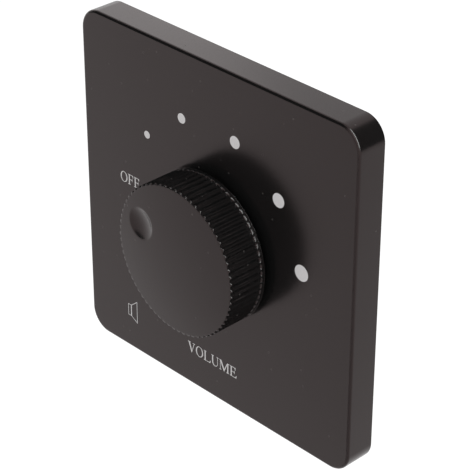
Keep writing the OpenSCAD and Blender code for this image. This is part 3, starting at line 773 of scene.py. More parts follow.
@dataclass
class FrontPlate:
    """The clip-on cover: a shallow box with rounded edges, snap ridges inside and a hole for the shaft."""

    corner_r: float = 5.5 * MM
    edge_r: float = 0.7 * MM
    back_edge_r: float = 0.15 * MM
    wall: float = 2 * MM
    hole_d: float = 12 * MM
    ridge_reach: float = 0.9 * MM
    ridge_w: float = 7.8 * MM
    ridge_h: float = 1.4 * MM
    ridge_height: float = 3.2 * MM
    ridge_edge_r: float = 1.4 * MM / 6
    corner_segments: int = 24
    edge_segments: int = 7
    back_edge_segments: int = 2
    ridge_edge_segments: int = 2
    hole_segments: int = 64
    low: Vector = field(default_factory=lambda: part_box("front_plate")[0])
    high: Vector = field(default_factory=lambda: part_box("front_plate")[1])
    bm: Mesh = field(default_factory=bmesh.new)

    @property
    def front(self) -> float:
        """How far the front face stands out of the wall."""
        return -self.low[1]

    @property
    def size(self) -> Vector:
        """Width, height and depth, as seen from the front."""
        return Vector((self.high[0] - self.low[0], self.high[2] - self.low[2], self.front))

    @property
    def middle_front(self) -> Vector:
        """Middle of the front face, as seen from the front."""
        return Vector(((self.low[0] + self.high[0]) / 2, (self.low[2] + self.high[2]) / 2, self.front))

    def build(self) -> None:
        """Builds and dresses the plate."""
        self._block()
        self._round_edges()
        self._hollow()
        self._cut_hole()
        self._add_ridges()
        add_piece("front_plate_cover", self.bm, CHARCOAL, Body.FIXED, ["front_plate"])

    def _block(self) -> None:
        """Starts from a plain block of the plate's size."""
        bmesh.ops.create_cube(self.bm, size=1.0)
        bmesh.ops.scale(self.bm, vec=self.size, verts=self.bm.verts[:])
        middle = self.middle_front - Z_AXIS * self.front / 2
        bmesh.ops.translate(self.bm, vec=middle, verts=self.bm.verts[:])

    def _facing(self, direction: float, height: float) -> Face:
        """Finds the largest face at a height that faces up or down z.

        Args:
            direction: 1 for a face that faces up, -1 for one that faces down.
            height: The face's place along z.

        Returns:
            The face.
        """
        self.bm.normal_update()
        level = [face for face in self.bm.faces if face.normal.z * direction > FACING_COSINE
                 and abs(face.calc_center_median().z - height) < MERGE_DISTANCE]
        return max(level, key=lambda face: face.calc_area())

    def _round_edges(self) -> None:
        """Rounds the four corners, then the front edge, and breaks the back edge."""
        standing = [e for e in self.bm.edges if abs(e.verts[0].co.z - e.verts[1].co.z) > MERGE_DISTANCE]
        round_over(self.bm, standing, self.corner_r, self.corner_segments)
        for direction, height, radius, steps in ((1, self.front, self.edge_r, self.edge_segments),
                                                 (-1, 0.0, self.back_edge_r, self.back_edge_segments)):
            round_over(self.bm, self._facing(direction, height).edges[:], radius, steps)

    def _hollow(self) -> None:
        """Sinks the inside from the back, leaving the walls."""
        back = self._facing(-1, 0.0)
        rest = self.wall - self.back_edge_r
        bmesh.ops.inset_region(self.bm, faces=[back], thickness=rest, use_even_offset=True)
        sunk = made_of(bmesh.ops.extrude_face_region(self.bm, geom=[back]), Vert)
        bmesh.ops.translate(self.bm, vec=(0, 0, self.front - self.wall), verts=sunk)
        bmesh.ops.delete(self.bm, geom=[back], context="FACES_ONLY")

    def _cut_hole(self) -> None:
        """Cuts the shaft's hole through the front wall."""
        bores = []
        for direction, height in ((1, self.front), (-1, self.front - self.wall)):
            face = self._facing(direction, height)
            border = face.edges[:]
            bmesh.ops.delete(self.bm, geom=[face], context="FACES_ONLY")
            bore = add_ring(self.bm, (0, 0, height), self.hole_d / 2, self.hole_segments)
            fill_between(self.bm, border + bore)
            bores += bore
        bmesh.ops.bridge_loops(self.bm, edges=bores)

    def _add_ridges(self) -> None:
        """Sets a snap ridge on the middle of each inner wall, with its root within the wall."""
        middle = self.middle_front.xy.to_3d() + Z_AXIS * self.ridge_height
        root = self.wall / 2
        for quarter in range(4):
            turn = Matrix.Rotation(quarter * math.pi / 2, 4, "Z")
            inside = self.size[quarter % 2] / 2 - self.wall
            ridge = bmesh.ops.create_cube(self.bm, size=1.0)["verts"]
            bmesh.ops.scale(self.bm, vec=(self.ridge_reach + root, self.ridge_w, self.ridge_h), verts=ridge)
            bmesh.ops.translate(self.bm, vec=(inside + (root - self.ridge_reach) / 2, 0, 0), verts=ridge)
            bmesh.ops.transform(self.bm, matrix=Matrix.Translation(middle) @ turn, verts=ridge)
            round_over(self.bm, edges_of(ridge), self.ridge_edge_r, self.ridge_edge_segments)


# Knob


@dataclass
class Knob:
    """The knob: a fluted rim, a plain collar, a thin flange, a domed face with a dimple and a hollow back."""

    rib_d: float = 36.5 * MM
    flute_count: int = 70
    flute_r: float = 0.65 * MM
    flute_depth: float = 0.45 * MM
    rib_end: float = 0.4 * MM
    run_out: float = 0.52 * MM
    collar_len: float = 0.3 * MM
    flange_t: float = 0.8 * MM
    flange_edge_r: float = 0.03 * MM
    flange_undercut: float = 0.75 * MM
    crown: float = 0.7 * MM
    rim_wall: float = 2.4 * MM
    front_wall: float = 2.6 * MM
    boss_d: float = 18 * MM
    bore_d: float = 10.1 * MM
    hub_recess: float = 0.4 * MM
    dimple_d: float = 7.8 * MM
    dimple_depth: float = 0.75 * MM
    dimple_lip_r: float = 1.4 * MM
    dimple_offset: float = 11.7 * MM
    rest_step: int = 1
    crest_steps: int = 3
    hollow_steps: int = 8
    round_steps: int = 4
    face_segments: int = 240
    face_steps: int = 14
    lip_steps: int = 5
    bowl_steps: int = 12
    low: Vector = field(default_factory=lambda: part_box("knob")[0])
    high: Vector = field(default_factory=lambda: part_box("knob")[1])
    bm: Mesh = field(default_factory=bmesh.new)

    @property
    def rim(self) -> float:
        """Height of the face's rim above the wall."""
        return -self.low[1] - self.crown

    @property
    def back(self) -> float:
        """Height of the flange's back above the wall."""
        return -self.high[1]

    @property
    def face_r(self) -> float:
        """Radius at which the ribs have gone and the face begins."""
        return self.rib_d / 2 - self.rib_end

    @property
    def pointer_angle(self) -> float:
        """Direction of the pointer dimple at rest."""
        return OFF_ANGLE - self.rest_step * STEP_ANGLE

    @property
    def dimple_middle(self) -> Vector:
        """Middle of the pointer dimple, as seen from the front."""
        turn = self.pointer_angle
        return Vector((math.cos(turn), math.sin(turn))) * self.dimple_offset

    @property
    def bowl_r(self) -> float:
        """Radius of the ball that the dimple is a part of."""
        return ((self.dimple_d / 2) ** 2 + self.dimple_depth ** 2) / (2 * self.dimple_depth)

    @property
    def lip_reach(self) -> float:
        """Distance from the dimple's middle at which its rounded lip meets the face."""
        high = self.bowl_r - self.dimple_depth + self.dimple_lip_r
        return math.sqrt((self.bowl_r + self.dimple_lip_r) ** 2 - high ** 2)

    @property
    def lip_joint(self) -> float:
        """Distance from the dimple's middle at which its lip goes over to the ball's hollow."""
        return self.lip_reach * self.bowl_r / (self.bowl_r + self.dimple_lip_r)

    @property
    def quarter_turn(self) -> list[float]:
        """Angles up to a right angle, one for each step of a rounding."""
        return [step / self.round_steps * math.pi / 2 for step in range(1, self.round_steps + 1)]

    def build(self) -> None:
        """Builds and dresses the knob."""
        outline = self._fluted_outline()
        self._face(self._front_end(outline))
        self._back_end(outline)
        add_piece("fluted_knob", self.bm, KNOB_CHARCOAL, Body.TURNING, ["knob"])

    def _fluted_outline(self) -> list[Edge]:
        """Draws the ribbed outline: half a crest, a flute and half the next crest, repeated round the axis.

        Returns:
            The outline's edges, at the front end of the ribs.
        """
        rib_r = self.rib_d / 2
        half_pitch = math.pi / self.flute_count
        flute_x = rib_r - self.flute_depth + self.flute_r
        crest_r = self._crest_radius(rib_r, half_pitch, flute_x)
        crest_x = (rib_r - crest_r) * math.cos(half_pitch)
        crest_y = (rib_r - crest_r) * math.sin(half_pitch)
        lean = math.atan2(crest_y, flute_x - crest_x)
        height = self.rim - self.rib_end
        turns = (((crest_x, -crest_y), lean + half_pitch, self.crest_steps),
                 ((flute_x, 0.0), -2 * lean, self.hollow_steps),
                 ((crest_x, crest_y), lean + half_pitch, self.crest_steps))
        tip = self.bm.verts.new((rib_r * math.cos(half_pitch), -rib_r * math.sin(half_pitch), height))
        for (x, y), angle, steps in turns:
            arc = bmesh.ops.spin(self.bm, geom=[tip], cent=(x, y, 0), axis=Z_AXIS, angle=angle, steps=steps)
            tip = made_of(arc, Vert, "geom_last")[0]
        to_pointer = Matrix.Rotation(self.pointer_angle, 3, "Z")
        bmesh.ops.rotate(self.bm, cent=(0, 0, 0), matrix=to_pointer, verts=self.bm.verts[:])
        bmesh.ops.spin(self.bm, geom=self.bm.verts[:] + self.bm.edges[:], cent=(0, 0, 0), axis=Z_AXIS,
                       use_duplicate=True, angle=2 * math.pi - 2 * half_pitch,
                       steps=self.flute_count - 1)
        bmesh.ops.remove_doubles(self.bm, verts=self.bm.verts[:], dist=MERGE_DISTANCE)
        return self.bm.edges[:]

    def _crest_radius(self, rib_r: float, half_pitch: float, flute_x: float) -> float:
        """Works out the crest's radius, at which a crest and a flute meet without a corner.

        Args:
            rib_r: Radius over the ribs.
            half_pitch: Half the angle from rib to rib.
            flute_x: Distance of a flute's centre from the axis.

        Returns:
            The crest's radius.
        """
        gap = rib_r * rib_r + flute_x * flute_x - 2 * rib_r * flute_x * math.cos(half_pitch)
        pull = 2 * (self.flute_r + rib_r - flute_x * math.cos(half_pitch))
        return (gap - self.flute_r * self.flute_r) / pull

    def _eased(self, ring: list[Edge], radius: float, path: Sequence[Point]) -> list[Edge]:
        """Draws rings that take the ribs over to a plain circle.

        Args:
            ring: The ribs' outline.
            radius: The circle's radius.
            path: Each ring's height, and how much of the ribs is left there.

        Returns:
            The last ring's edges.
        """
        before = 1.0
        for height, left in path:
            ring = next_ring(self.bm, ring, height, radius, left / before)
            before = left
        return ring

    def _front_end(self, outline: list[Edge]) -> list[Edge]:
        """Rounds the ribs over to the face.

        Args:
            outline: The ribs' outline.

        Returns:
            The edges of the face's rim.
        """
        path = [(self.rim - self.rib_end * (1 - math.sin(turn)), math.cos(turn))
                for turn in self.quarter_turn]
        return self._eased(outline, self.face_r, path)

    def _dome(self, radius: float) -> float:
        """Gives the height of the domed face at a distance from the knob's axis."""
        dome_r = (self.face_r ** 2 + self.crown ** 2) / (2 * self.crown)
        return self.rim + self.crown - dome_r + math.sqrt(dome_r ** 2 - radius ** 2)

    def _dip(self, reach: float) -> float:
        """Gives the depth of the dimple at a distance from its middle: a ball's hollow with a rounded lip.

        Args:
            reach: The distance.

        Returns:
            The depth, which is 0 outside the lip.
        """
        if reach >= self.lip_reach:
            return 0.0
        if reach > self.lip_joint:
            return self.dimple_lip_r - math.sqrt(self.dimple_lip_r ** 2 - (self.lip_reach - reach) ** 2)
        return self.dimple_depth - self.bowl_r + math.sqrt(self.bowl_r ** 2 - reach ** 2)

    def _face(self, rim: list[Edge]) -> None:
        """Domes the face with rings that close in on the dimple and go down into it.

        Args:
            rim: The edges of the face's rim.
        """
        edge_r = self.face_r - self.rib_end
        start_r = edge_r - self.rib_end
        edge = next_ring(self.bm, rim, self._dome(edge_r), edge_r)
        ring = add_ring(self.bm, (0, 0, self._dome(start_r)), start_r, self.face_segments)
        fill_between(self.bm, edge + ring)
        for left in range(self.face_steps, 0, -1):
            ring = self._closer_ring(ring, self.lip_reach, (left - 1) / left)
        lip_width = self.lip_joint - self.lip_reach
        lip = [self.lip_reach + lip_width * i / self.lip_steps for i in range(1, self.lip_steps + 1)]
        bowl = [self.lip_joint * (1 - i / self.bowl_steps) for i in range(1, self.bowl_steps)]
        for reach in lip + bowl:
            ring = self._closer_ring(ring, reach, 0.0)
        bmesh.ops.contextual_create(self.bm, geom=list(ring))

    def _closer_ring(self, ring: list[Edge], target: float, share: float) -> list[Edge]:
        """Draws the face from a ring to one that lies closer to the dimple's middle.

        Args:
            ring: The edges that the face goes on from.
            target: Distance from the dimple's middle that the rings go to.
            share: How much of the way to the target is left after this ring, from 1 to 0.

        Returns:
            The new ring's edges.
        """
        verts, edges = extruded(self.bm, ring)
        for vert in verts:
            offset = vert.co.xy - self.dimple_middle
            reach = target + (offset.length - target) * share
            spot = self.dimple_middle + offset.normalized() * reach
            vert.co = (spot.x, spot.y, self._dome(spot.length) - self._dip(reach))
        return edges

    def _back_end(self, outline: list[Edge]) -> None:
        """Runs the flutes out at the collar, then turns the collar, the flange and the hollow back.

        Args:
            outline: The ribs' outline.
        """
        rib_r = self.rib_d / 2
        flange_r = self.high[0]
        flange_front = self.back + self.flange_t
        flute_back = flange_front + self.collar_len
        edge = self.flange_edge_r
        inside = self.rim - self.front_wall
        hub = self.back + self.hub_recess
        rounding = [(flange_r - edge * (1 - math.sin(turn)), flange_front - edge * (1 - math.cos(turn)))
                    for turn in (0.0, math.pi / 6, math.pi / 3, math.pi / 2)]
        path = [(flute_back + self.run_out * math.cos(turn), 1 - math.sin(turn))
                for turn in self.quarter_turn]
        ring = self._eased(outline, rib_r, [(flute_back + self.run_out, 1.0), *path])
        for radius, height in [
                (rib_r, flange_front), *rounding,
                (flange_r - self.flange_undercut, self.back),
                (rib_r - self.rim_wall, self.back), (rib_r - self.rim_wall, inside),
                (self.boss_d / 2, inside), (self.boss_d / 2, hub),
                (self.bore_d / 2, hub), (self.bore_d / 2, inside)]:
            ring = next_ring(self.bm, ring, height, radius)
        bmesh.ops.contextual_create(self.bm, geom=list(ring))


# Printed marks


def arc_points(middle: Point, reach: Point, first: float, last: float, steps: int) -> list[Point]:
    """Lists points along part of an ellipse with a half width and height, from angle to angle in degrees."""
    turns = [math.radians(first + (last - first) * i / steps) for i in range(steps + 1)]
    return [(middle[0] + reach[0] * math.cos(turn), middle[1] + reach[1] * math.sin(turn)) for turn in turns]


@dataclass(frozen=True)
class SerifCapitals:
    """Plain serif capitals of this script's own, drawn in units of their height."""

    stem: float = 0.14
    hair: float = 0.055
    serif: float = 0.1
    gap: float = 0.1
    curve_steps: int = 28
    turn_steps: int = 14

    def outlines(self, letter: str) -> list[list[Point]]:
        """Draws one letter.

        Args:
            letter: The capital.

        Returns:
            Its outer outline and then its holes.
        """
        drawn = {"E": self._barred(True), "F": self._barred(False), "L": self._l(), "M": self._m(),
                 "U": self._u(), "V": self._v()}
        return self._o() if letter == "O" else [drawn[letter]]

    def width(self, letter: str) -> float:
        """Gives a letter's width."""
        return max(x for x, _ in self.outlines(letter)[0])

    def _o(self) -> list[list[Point]]:
        """Draws the O, with its sides thicker than its top and bottom.

        Returns:
            Its outer outline and its hole.
        """
        middle, reach = (0.475, 0.5), (0.475, 0.52)
        hole = (reach[0] - self.stem, reach[1] - self.hair)
        return [arc_points(middle, side, 0, 360, self.curve_steps)[:-1] for side in (reach, hole)]

    def _barred(self, foot: bool) -> list[Point]:
        """Draws the E, or without a foot bar the F.

        Args:
            foot: Whether it has a foot bar.

        Returns:
            Its outline.
        """
        left, right, hair = self.serif, self.serif + self.stem, self.hair
        top, bar, bar_top = 1 - hair, 0.48, 0.48 + hair
        foot_end = [(0.81, 0.0), (0.85, 0.27), (0.81, 0.27), (0.69, hair)]
        serif_end = [(right + self.serif, 0.0), (right + self.serif, hair)]
        return [(0.0, 0.0), *(foot_end if foot else serif_end), (right, hair), (right, bar), (0.52, bar),
                (0.56, 0.36), (0.6, 0.36), (0.6, 0.66), (0.56, 0.66), (0.52, bar_top), (right, bar_top),
                (right, top), (0.56, top), (0.68, 0.75), (0.72, 0.75), (0.7, 1.0), (0.0, 1.0),
                (0.0, top), (left, top), (left, hair), (0.0, hair)]

    def _l(self) -> list[Point]:
        """Draws the L.

        Returns:
            Its outline.
        """
        left, right, hair, top = self.serif, self.serif + self.stem, self.hair, 1 - self.hair
        return [(0.0, 0.0), (0.84, 0.0), (0.88, 0.27), (0.84, 0.27), (0.72, hair), (right, hair),
                (right, top), (right + self.serif, top), (right + self.serif, 1.0), (0.0, 1.0), (0.0, top),
                (left, top), (left, hair), (0.0, hair)]

    def _m(self) -> list[Point]:
        """Draws the M, with a thin first stem and a thick last one.

        Returns:
            Its outline.
        """
        left, hair, top, end = self.serif, self.hair, 1 - self.hair, 1.26
        thin = left + hair
        thick_right = end - self.serif
        thick_left = thick_right - self.stem
        return [(0.0, 0.0), (thin + self.serif, 0.0), (thin + self.serif, hair), (thin, hair), (thin, 0.84),
                (0.59, 0.0), (0.63, 0.0), (thick_left, 0.84), (thick_left, hair),
                (thick_left - self.serif, hair), (thick_left - self.serif, 0.0), (end, 0.0), (end, hair),
                (thick_right, hair), (thick_right, top), (end, top), (end, 1.0), (thick_left - 0.01, 1.0),
                (0.64, 0.24), (left + self.stem + 0.02, 1.0), (0.0, 1.0), (0.0, top), (left, top),
                (left, hair), (0.0, hair)]

    def _u(self) -> list[Point]:
        """Draws the U, with a thick first stem and a thin last one.

        Returns:
            Its outline.
        """
        top, end, turn_y = 1 - self.hair, 0.94, 0.34
        left, thick, right = self.serif, self.serif + self.stem, end - self.serif
        thin = right - self.hair
        outside = arc_points(((left + right) / 2, turn_y), ((right - left) / 2, turn_y + 0.02), 180, 360,
                             self.turn_steps)
        inside = arc_points(((thick + thin) / 2, turn_y), ((thin - thick) / 2, turn_y - 0.05), 360, 180,
                            self.turn_steps)
        return [(left, top), *outside, (right, top), (end, top), (end, 1.0), (thin - self.serif, 1.0),
                (thin - self.serif, top), (thin, top), *inside, (thick, top), (thick + self.serif, top),
                (thick + self.serif, 1.0), (0.0, 1.0), (0.0, top)]

    def _v(self) -> list[Point]:
        """Draws the V, with a thick first stroke and a thin last one.

        Returns:
            Its outline.
        """
        top, end = 1 - self.hair, 0.95
        thick = self.serif + self.stem + 0.03
        return [(0.0, 1.0), (0.0, top), (self.serif, top), (0.46, -0.02), (0.51, -0.02),
                (end - self.serif, top), (end, top), (end, 1.0), (0.65, 1.0), (0.65, top), (0.78, top),
                (0.54, 0.22), (thick, top), (0.38, top), (0.38, 1.0)]


@dataclass
class DialMarks:
    """The print on the plate: growing dots, two words and a loudspeaker. Places count from its middle."""

    plate: FrontPlate
    film: float = 0.02 * MM
    dot_angles: tuple[float, ...] = (139.7, 110.1, 75.2, 41.6, 6.8)
    dot_radii: tuple[float, ...] = (27.9 * MM, 28.2 * MM, 27.9 * MM, 27.4 * MM, 27.9 * MM)
    dot_sizes: tuple[float, ...] = (1.86 * MM, 2.43 * MM, 2.98 * MM, 3.43 * MM, 3.95 * MM)
    dot_segments: int = 40
    off_place: Point = (-30.86 * MM, 2.63 * MM)
    off_height: float = 2.65 * MM
    volume_place: Point = (-8.45 * MM, -34.05 * MM)
    volume_height: float = 2.75 * MM
    squeeze: float = 0.94
    speaker_line: float = 0.15 * MM
    speaker_box: tuple[Point, ...] = ((-29.55 * MM, -33.9 * MM), (-28.45 * MM, -33.9 * MM),
                                      (-28.45 * MM, -30.75 * MM), (-29.55 * MM, -30.75 * MM))
    speaker_cone: tuple[Point, ...] = ((-26.3 * MM, -35.2 * MM), (-26.3 * MM, -29.0 * MM))
    capitals: SerifCapitals = SerifCapitals()

    def build(self) -> None:
        """Builds and dresses every mark."""
        self._finish("dial_dots", self._dots())
        self._finish("off_word", self._word("OFF", self.off_place, self.off_height))
        self._finish("volume_word", self._word("VOLUME", self.volume_place, self.volume_height))
        self._finish("loudspeaker_sign", self._loudspeaker())

    def _finish(self, name: str, bm: Mesh) -> None:
        """Gives a flat mark its film of ink and its place on the plate.

        Args:
            name: The mark's name.
            bm: Its flat mesh about the plate's middle, which is used up.
        """
        raise_faces(bm, self.film)
        bmesh.ops.translate(bm, vec=self.plate.middle_front, verts=bm.verts[:])
        add_piece(name, bm, INK, Body.FIXED)

    def _dots(self) -> Mesh:
        """Draws the dots round the plate's middle.

        Returns:
            The flat dots.
        """
        bm = bmesh.new()
        for angle, radius, size in zip(self.dot_angles, self.dot_radii, self.dot_sizes):
            turn = math.radians(angle)
            centre = (radius * math.cos(turn), radius * math.sin(turn), 0.0)
            fill_between(bm, add_ring(bm, centre, size / 2, self.dot_segments))
        return bm

    def _word(self, word: str, place: Point, height: float) -> Mesh:
        """Draws a word.

        Args:
            word: Its letters.
            place: Left end of its baseline.
            height: Height of its capitals.

        Returns:
            The flat word.
        """
        bm = bmesh.new()
        left = 0.0
        for letter in word:
            edges = []
            for outline in self.capitals.outlines(letter):
                edges += add_path(bm, [(left + x, y, 0.0) for x, y in outline], closed=True)[1]
            fill_between(bm, edges)
            left += self.capitals.width(letter) + self.capitals.gap
        bmesh.ops.scale(bm, vec=(height * self.squeeze, height, 1.0), verts=bm.verts[:])
        bmesh.ops.translate(bm, vec=(*place, 0.0), verts=bm.verts[:])
        return bm

    def _loudspeaker(self) -> Mesh:
        """Draws the loudspeaker's box and cone as two frames of thin lines.

        Returns:
            The flat frames.
        """
        bm = bmesh.new()
        cone = (self.speaker_box[1], *self.speaker_cone, self.speaker_box[2])
        add_frames(bm, (self.speaker_box, cone), self.speaker_line)
        return bm


# Mechanism


@dataclass
class Mechanism:
    """The parts behind the plate, which keep the frame's own meshes and take the finish of their slots."""

    finishes: dict[str, Finish] = field(default_factory=lambda: {
        "brass": BRASS, "spring_steel": SPRING_STEEL, "plated_steel": PLATED_STEEL, "zinc_steel": ZINC_SHEET,
        "tinned_wire": TINNED, "contact_bronze": BRONZE, "core_steel": CORE_STACK,
        "black_plastic": BLACK_MOULDING, "ivory_plastic": IVORY_MOULDING, "green_plastic": GREEN_MOULDING,
        "brown_laminate": BROWN_LAMINATE, "board_laminate": GREEN_BOARD, "winding_tape": TAPE})

    def dress(self) -> None:
        """Gives every node of these slots its finish."""
        for part in frame["record"]["subparts"]:
            finish = self.finishes.get(part["material_slot"])
            if finish is not None:
                mesh = frame["nodes"][part["node"]].data
                mesh.materials.clear()
                mesh.materials.append(finish.material())
                LOG.info("node %s: %s", part["node"], finish.name)


@dataclass
class BoardFittings:
    """What the board carries: solder joints, bare pads, tracks under its mask and printed outlines."""

    contact_r: float = 7 * MM
    contact_count: int = 11
    slip_pin: Point = (0.0, 4.325 * MM)
    terminal_x: tuple[float, ...] = (-10.5 * MM, -5.5 * MM, -0.5 * MM, 4.5 * MM)
    terminal_y: float = 16.85 * MM
    rail_x: tuple[float, ...] = (-13.5 * MM, -10.5 * MM, -7.5 * MM, -4.5 * MM, -1.5 * MM, 1.5 * MM)
    rail_y: tuple[float, ...] = (-23.5 * MM, -2.5 * MM)
    screw_place: Point = (21 * MM, 24 * MM)
    joint: tuple[Point, ...] = ((0.0, -0.02 * MM), (1.0 * MM, -0.02 * MM), (1.0 * MM, 0.05 * MM),
                                (0.76 * MM, 0.16 * MM), (0.62 * MM, 0.34 * MM), (0.55 * MM, 0.6 * MM),
                                (0.0, 0.66 * MM))
    screw_pad: Point = (2.2 * MM, 3.4 * MM)
    through_pad: Point = (0.28 * MM, 0.68 * MM)
    pad_height: float = 0.045 * MM
    track_height: float = 0.035 * MM
    fan_width: float = 0.7 * MM
    fan_end_r: float = 10.4 * MM
    wide_width: float = 1.3 * MM
    wide_tracks: tuple[tuple[Point, ...], ...] = (
        ((4.5, 17.5), (12.3, 17.5), (17.2, 12.6), (17.2, -12.0), (11.0, -18.2)),
        ((0.1, 16.85), (0.1, 23.2), (14.3, 23.2), (20.3, 17.2), (20.3, -14.0), (11.0, -23.3)),
        ((-20.2, -5.0), (-20.2, 13.6), (-16.3, 17.5), (-10.5, 17.5)),
        ((-23.5, -3.0), (-23.5, 12.7), (-12.3, 23.9), (-4.85, 23.9), (-4.85, 16.85)),
        ((-0.65, 4.3), (-0.65, -4.0)))
    print_line: float = 0.3 * MM
    print_height: float = 0.055 * MM
    print_boxes: tuple[tuple[float, ...], ...] = ((-14.3, 11.2, 8.3, 21.8), (-24.65, -27.6, 12.9, 3.0))
    low: Vector = field(default_factory=lambda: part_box("circuit_board")[0])
    high: Vector = field(default_factory=lambda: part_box("circuit_board")[1])

    def build(self) -> None:
        """Builds and dresses everything on the board."""
        self._solder()
        self._pads()
        self._tracks()
        self._print()

    def _fan(self, radius: float) -> list[Point]:
        """Lists the points on the switch contacts' directions at a distance from the axis."""
        turns = [OFF_ANGLE - step * STEP_ANGLE for step in range(self.contact_count)]
        return [(radius * math.cos(turn), radius * math.sin(turn)) for turn in turns]

    def _lay(self, name: str, bm: Mesh, finish: Finish) -> None:
        """Lays flat work, drawn with its height along -z, on the board's back."""
        bmesh.ops.translate(bm, vec=(0, 0, -self.high[1]), verts=bm.verts[:])
        add_piece(name, bm, finish, Body.FIXED)

    def _solder(self) -> None:
        """Puts solder round the switch's pins behind the board and the other pins in front of it."""
        front_pins = [(x, self.terminal_y) for x in self.terminal_x]
        front_pins += [(x, y) for y in self.rail_y for x in self.rail_x]
        thickness = self.high[1] - self.low[1]
        bm = bmesh.new()
        for pin in [*self._fan(self.contact_r), self.slip_pin]:
            add_turned(bm, pin, [(radius, -height) for radius, height in self.joint])
        for pin in front_pins:
            add_turned(bm, pin, [(radius, thickness + height) for radius, height in self.joint])
        self._lay("solder_joints", bm, SOLDER)

    def _pads(self) -> None:
        """Rings the board's screws and the holes at the ends of the fan of tracks."""
        x, y = self.screw_place
        rings = [((side * x, end * y), self.screw_pad) for side in (-1, 1) for end in (-1, 1)]
        rings += [(spot, self.through_pad) for spot in self._fan(self.fan_end_r)]
        bm = bmesh.new()
        for spot, (inner, outer) in rings:
            top = -self.pad_height
            add_turned(bm, spot, [(inner, 0.0), (inner, top), (outer, top), (outer, 0.0)], closed=True)
        self._lay("board_pads", bm, SOLDER)

    def _tracks(self) -> None:
        """Runs a fan of narrow tracks from the switch and wide tracks from the wire terminals."""
        bm = bmesh.new()
        for near, far in zip(self._fan(self.contact_r), self._fan(self.fan_end_r)):
            aside = Vector((-far[1], far[0])).normalized() * self.fan_width / 2
            left_edge = [(x + aside.x, y + aside.y) for x, y in (near, far)]
            add_strip(bm, left_edge, self.fan_width, -self.track_height)
        for path in self.wide_tracks:
            add_strip(bm, [(x * MM, y * MM) for x, y in path], self.wide_width, -self.track_height)
        self._lay("board_tracks", bm, MASKED_TRACK)

    def _print(self) -> None:
        """Prints the outlines of the terminal block and the transformer."""
        bm = bmesh.new()
        boxes = [[value * MM for value in box] for box in self.print_boxes]
        outlines = [((x0, y0), (x1, y0), (x1, y1), (x0, y1)) for x0, y0, x1, y1 in boxes]
        add_frames(bm, outlines, self.print_line)
        raise_faces(bm, -self.print_height)
        self._lay("board_outlines", bm, BOARD_PRINT)


@dataclass
class TapeEnd:
    """The loose end of the winding's tape, laid over its back and round one corner."""

    start: float = 7 * MM
    corner_r: float = 2 * MM
    corner_steps: int = 8
    reach: float = 4 * MM
    thickness: float = 0.09 * MM
    edge_gap: float = 0.3 * MM
    low: Vector = field(default_factory=lambda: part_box("winding")[0])
    high: Vector = field(default_factory=lambda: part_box("winding")[1])

    def build(self) -> None:
        """Builds and dresses the tape's end."""
        side, back = self.high[0], self.high[1]
        round_r = self.corner_r
        bend = arc_points((side - round_r, back - round_r), (round_r, round_r), 0, 90, self.corner_steps)
        path = [(side, back - round_r - self.reach), *bend, (side - self.start - round_r, back)]
        bm = bmesh.new()
        add_strip(bm, path, self.thickness, self.high[2] - self.low[2] - 2 * self.edge_gap)
        upright = Matrix.Rotation(-math.pi / 2, 3, "X")
        bmesh.ops.rotate(bm, cent=(0, 0, 0), matrix=upright, verts=bm.verts[:])
        bmesh.ops.translate(bm, vec=(0, self.low[2] + self.edge_gap, 0), verts=bm.verts[:])
        add_piece("winding_tape_end", bm, TAPE, Body.FIXED)


# Studio


@dataclass(frozen=True)
class Softbox:
    """A flat lamp: where it stands seen from the object, its distance, size and brightness (1 is white)."""

    name: str
    direction: tuple[float, float, float]
    distance: float
    width: float
    height: float
    brightness: float
    colour: Colour = (1.0, 1.0, 1.0)
    lights_matt: bool = True


@dataclass(frozen=True)
class Card:
    """A dark card that only shows in reflections. It may be a thin veil and fade out towards its edges."""

    name: str
    direction: tuple[float, float, float]
    distance: float
    width: float
    height: float
    density: float = 1.0
    soft_edge: float = 0.02
    colour: Colour = (0.01, 0.01, 0.01)

    def veil(self, bench: Bench) -> Tone:
        """Gives the card's density at each point, which falls to nothing at its edges.

        Args:
            bench: Where nodes are made.

        Returns:
            The density.
        """
        cover: Scalar = self.density
        for axis, size in (("X", self.width), ("Y", self.height)):
            across = bench.along(axis) * (2 / size)
            cover = (1.0 - across.larger(-1.0 * across)).fade(0.0, self.soft_edge) * cover
        return cover


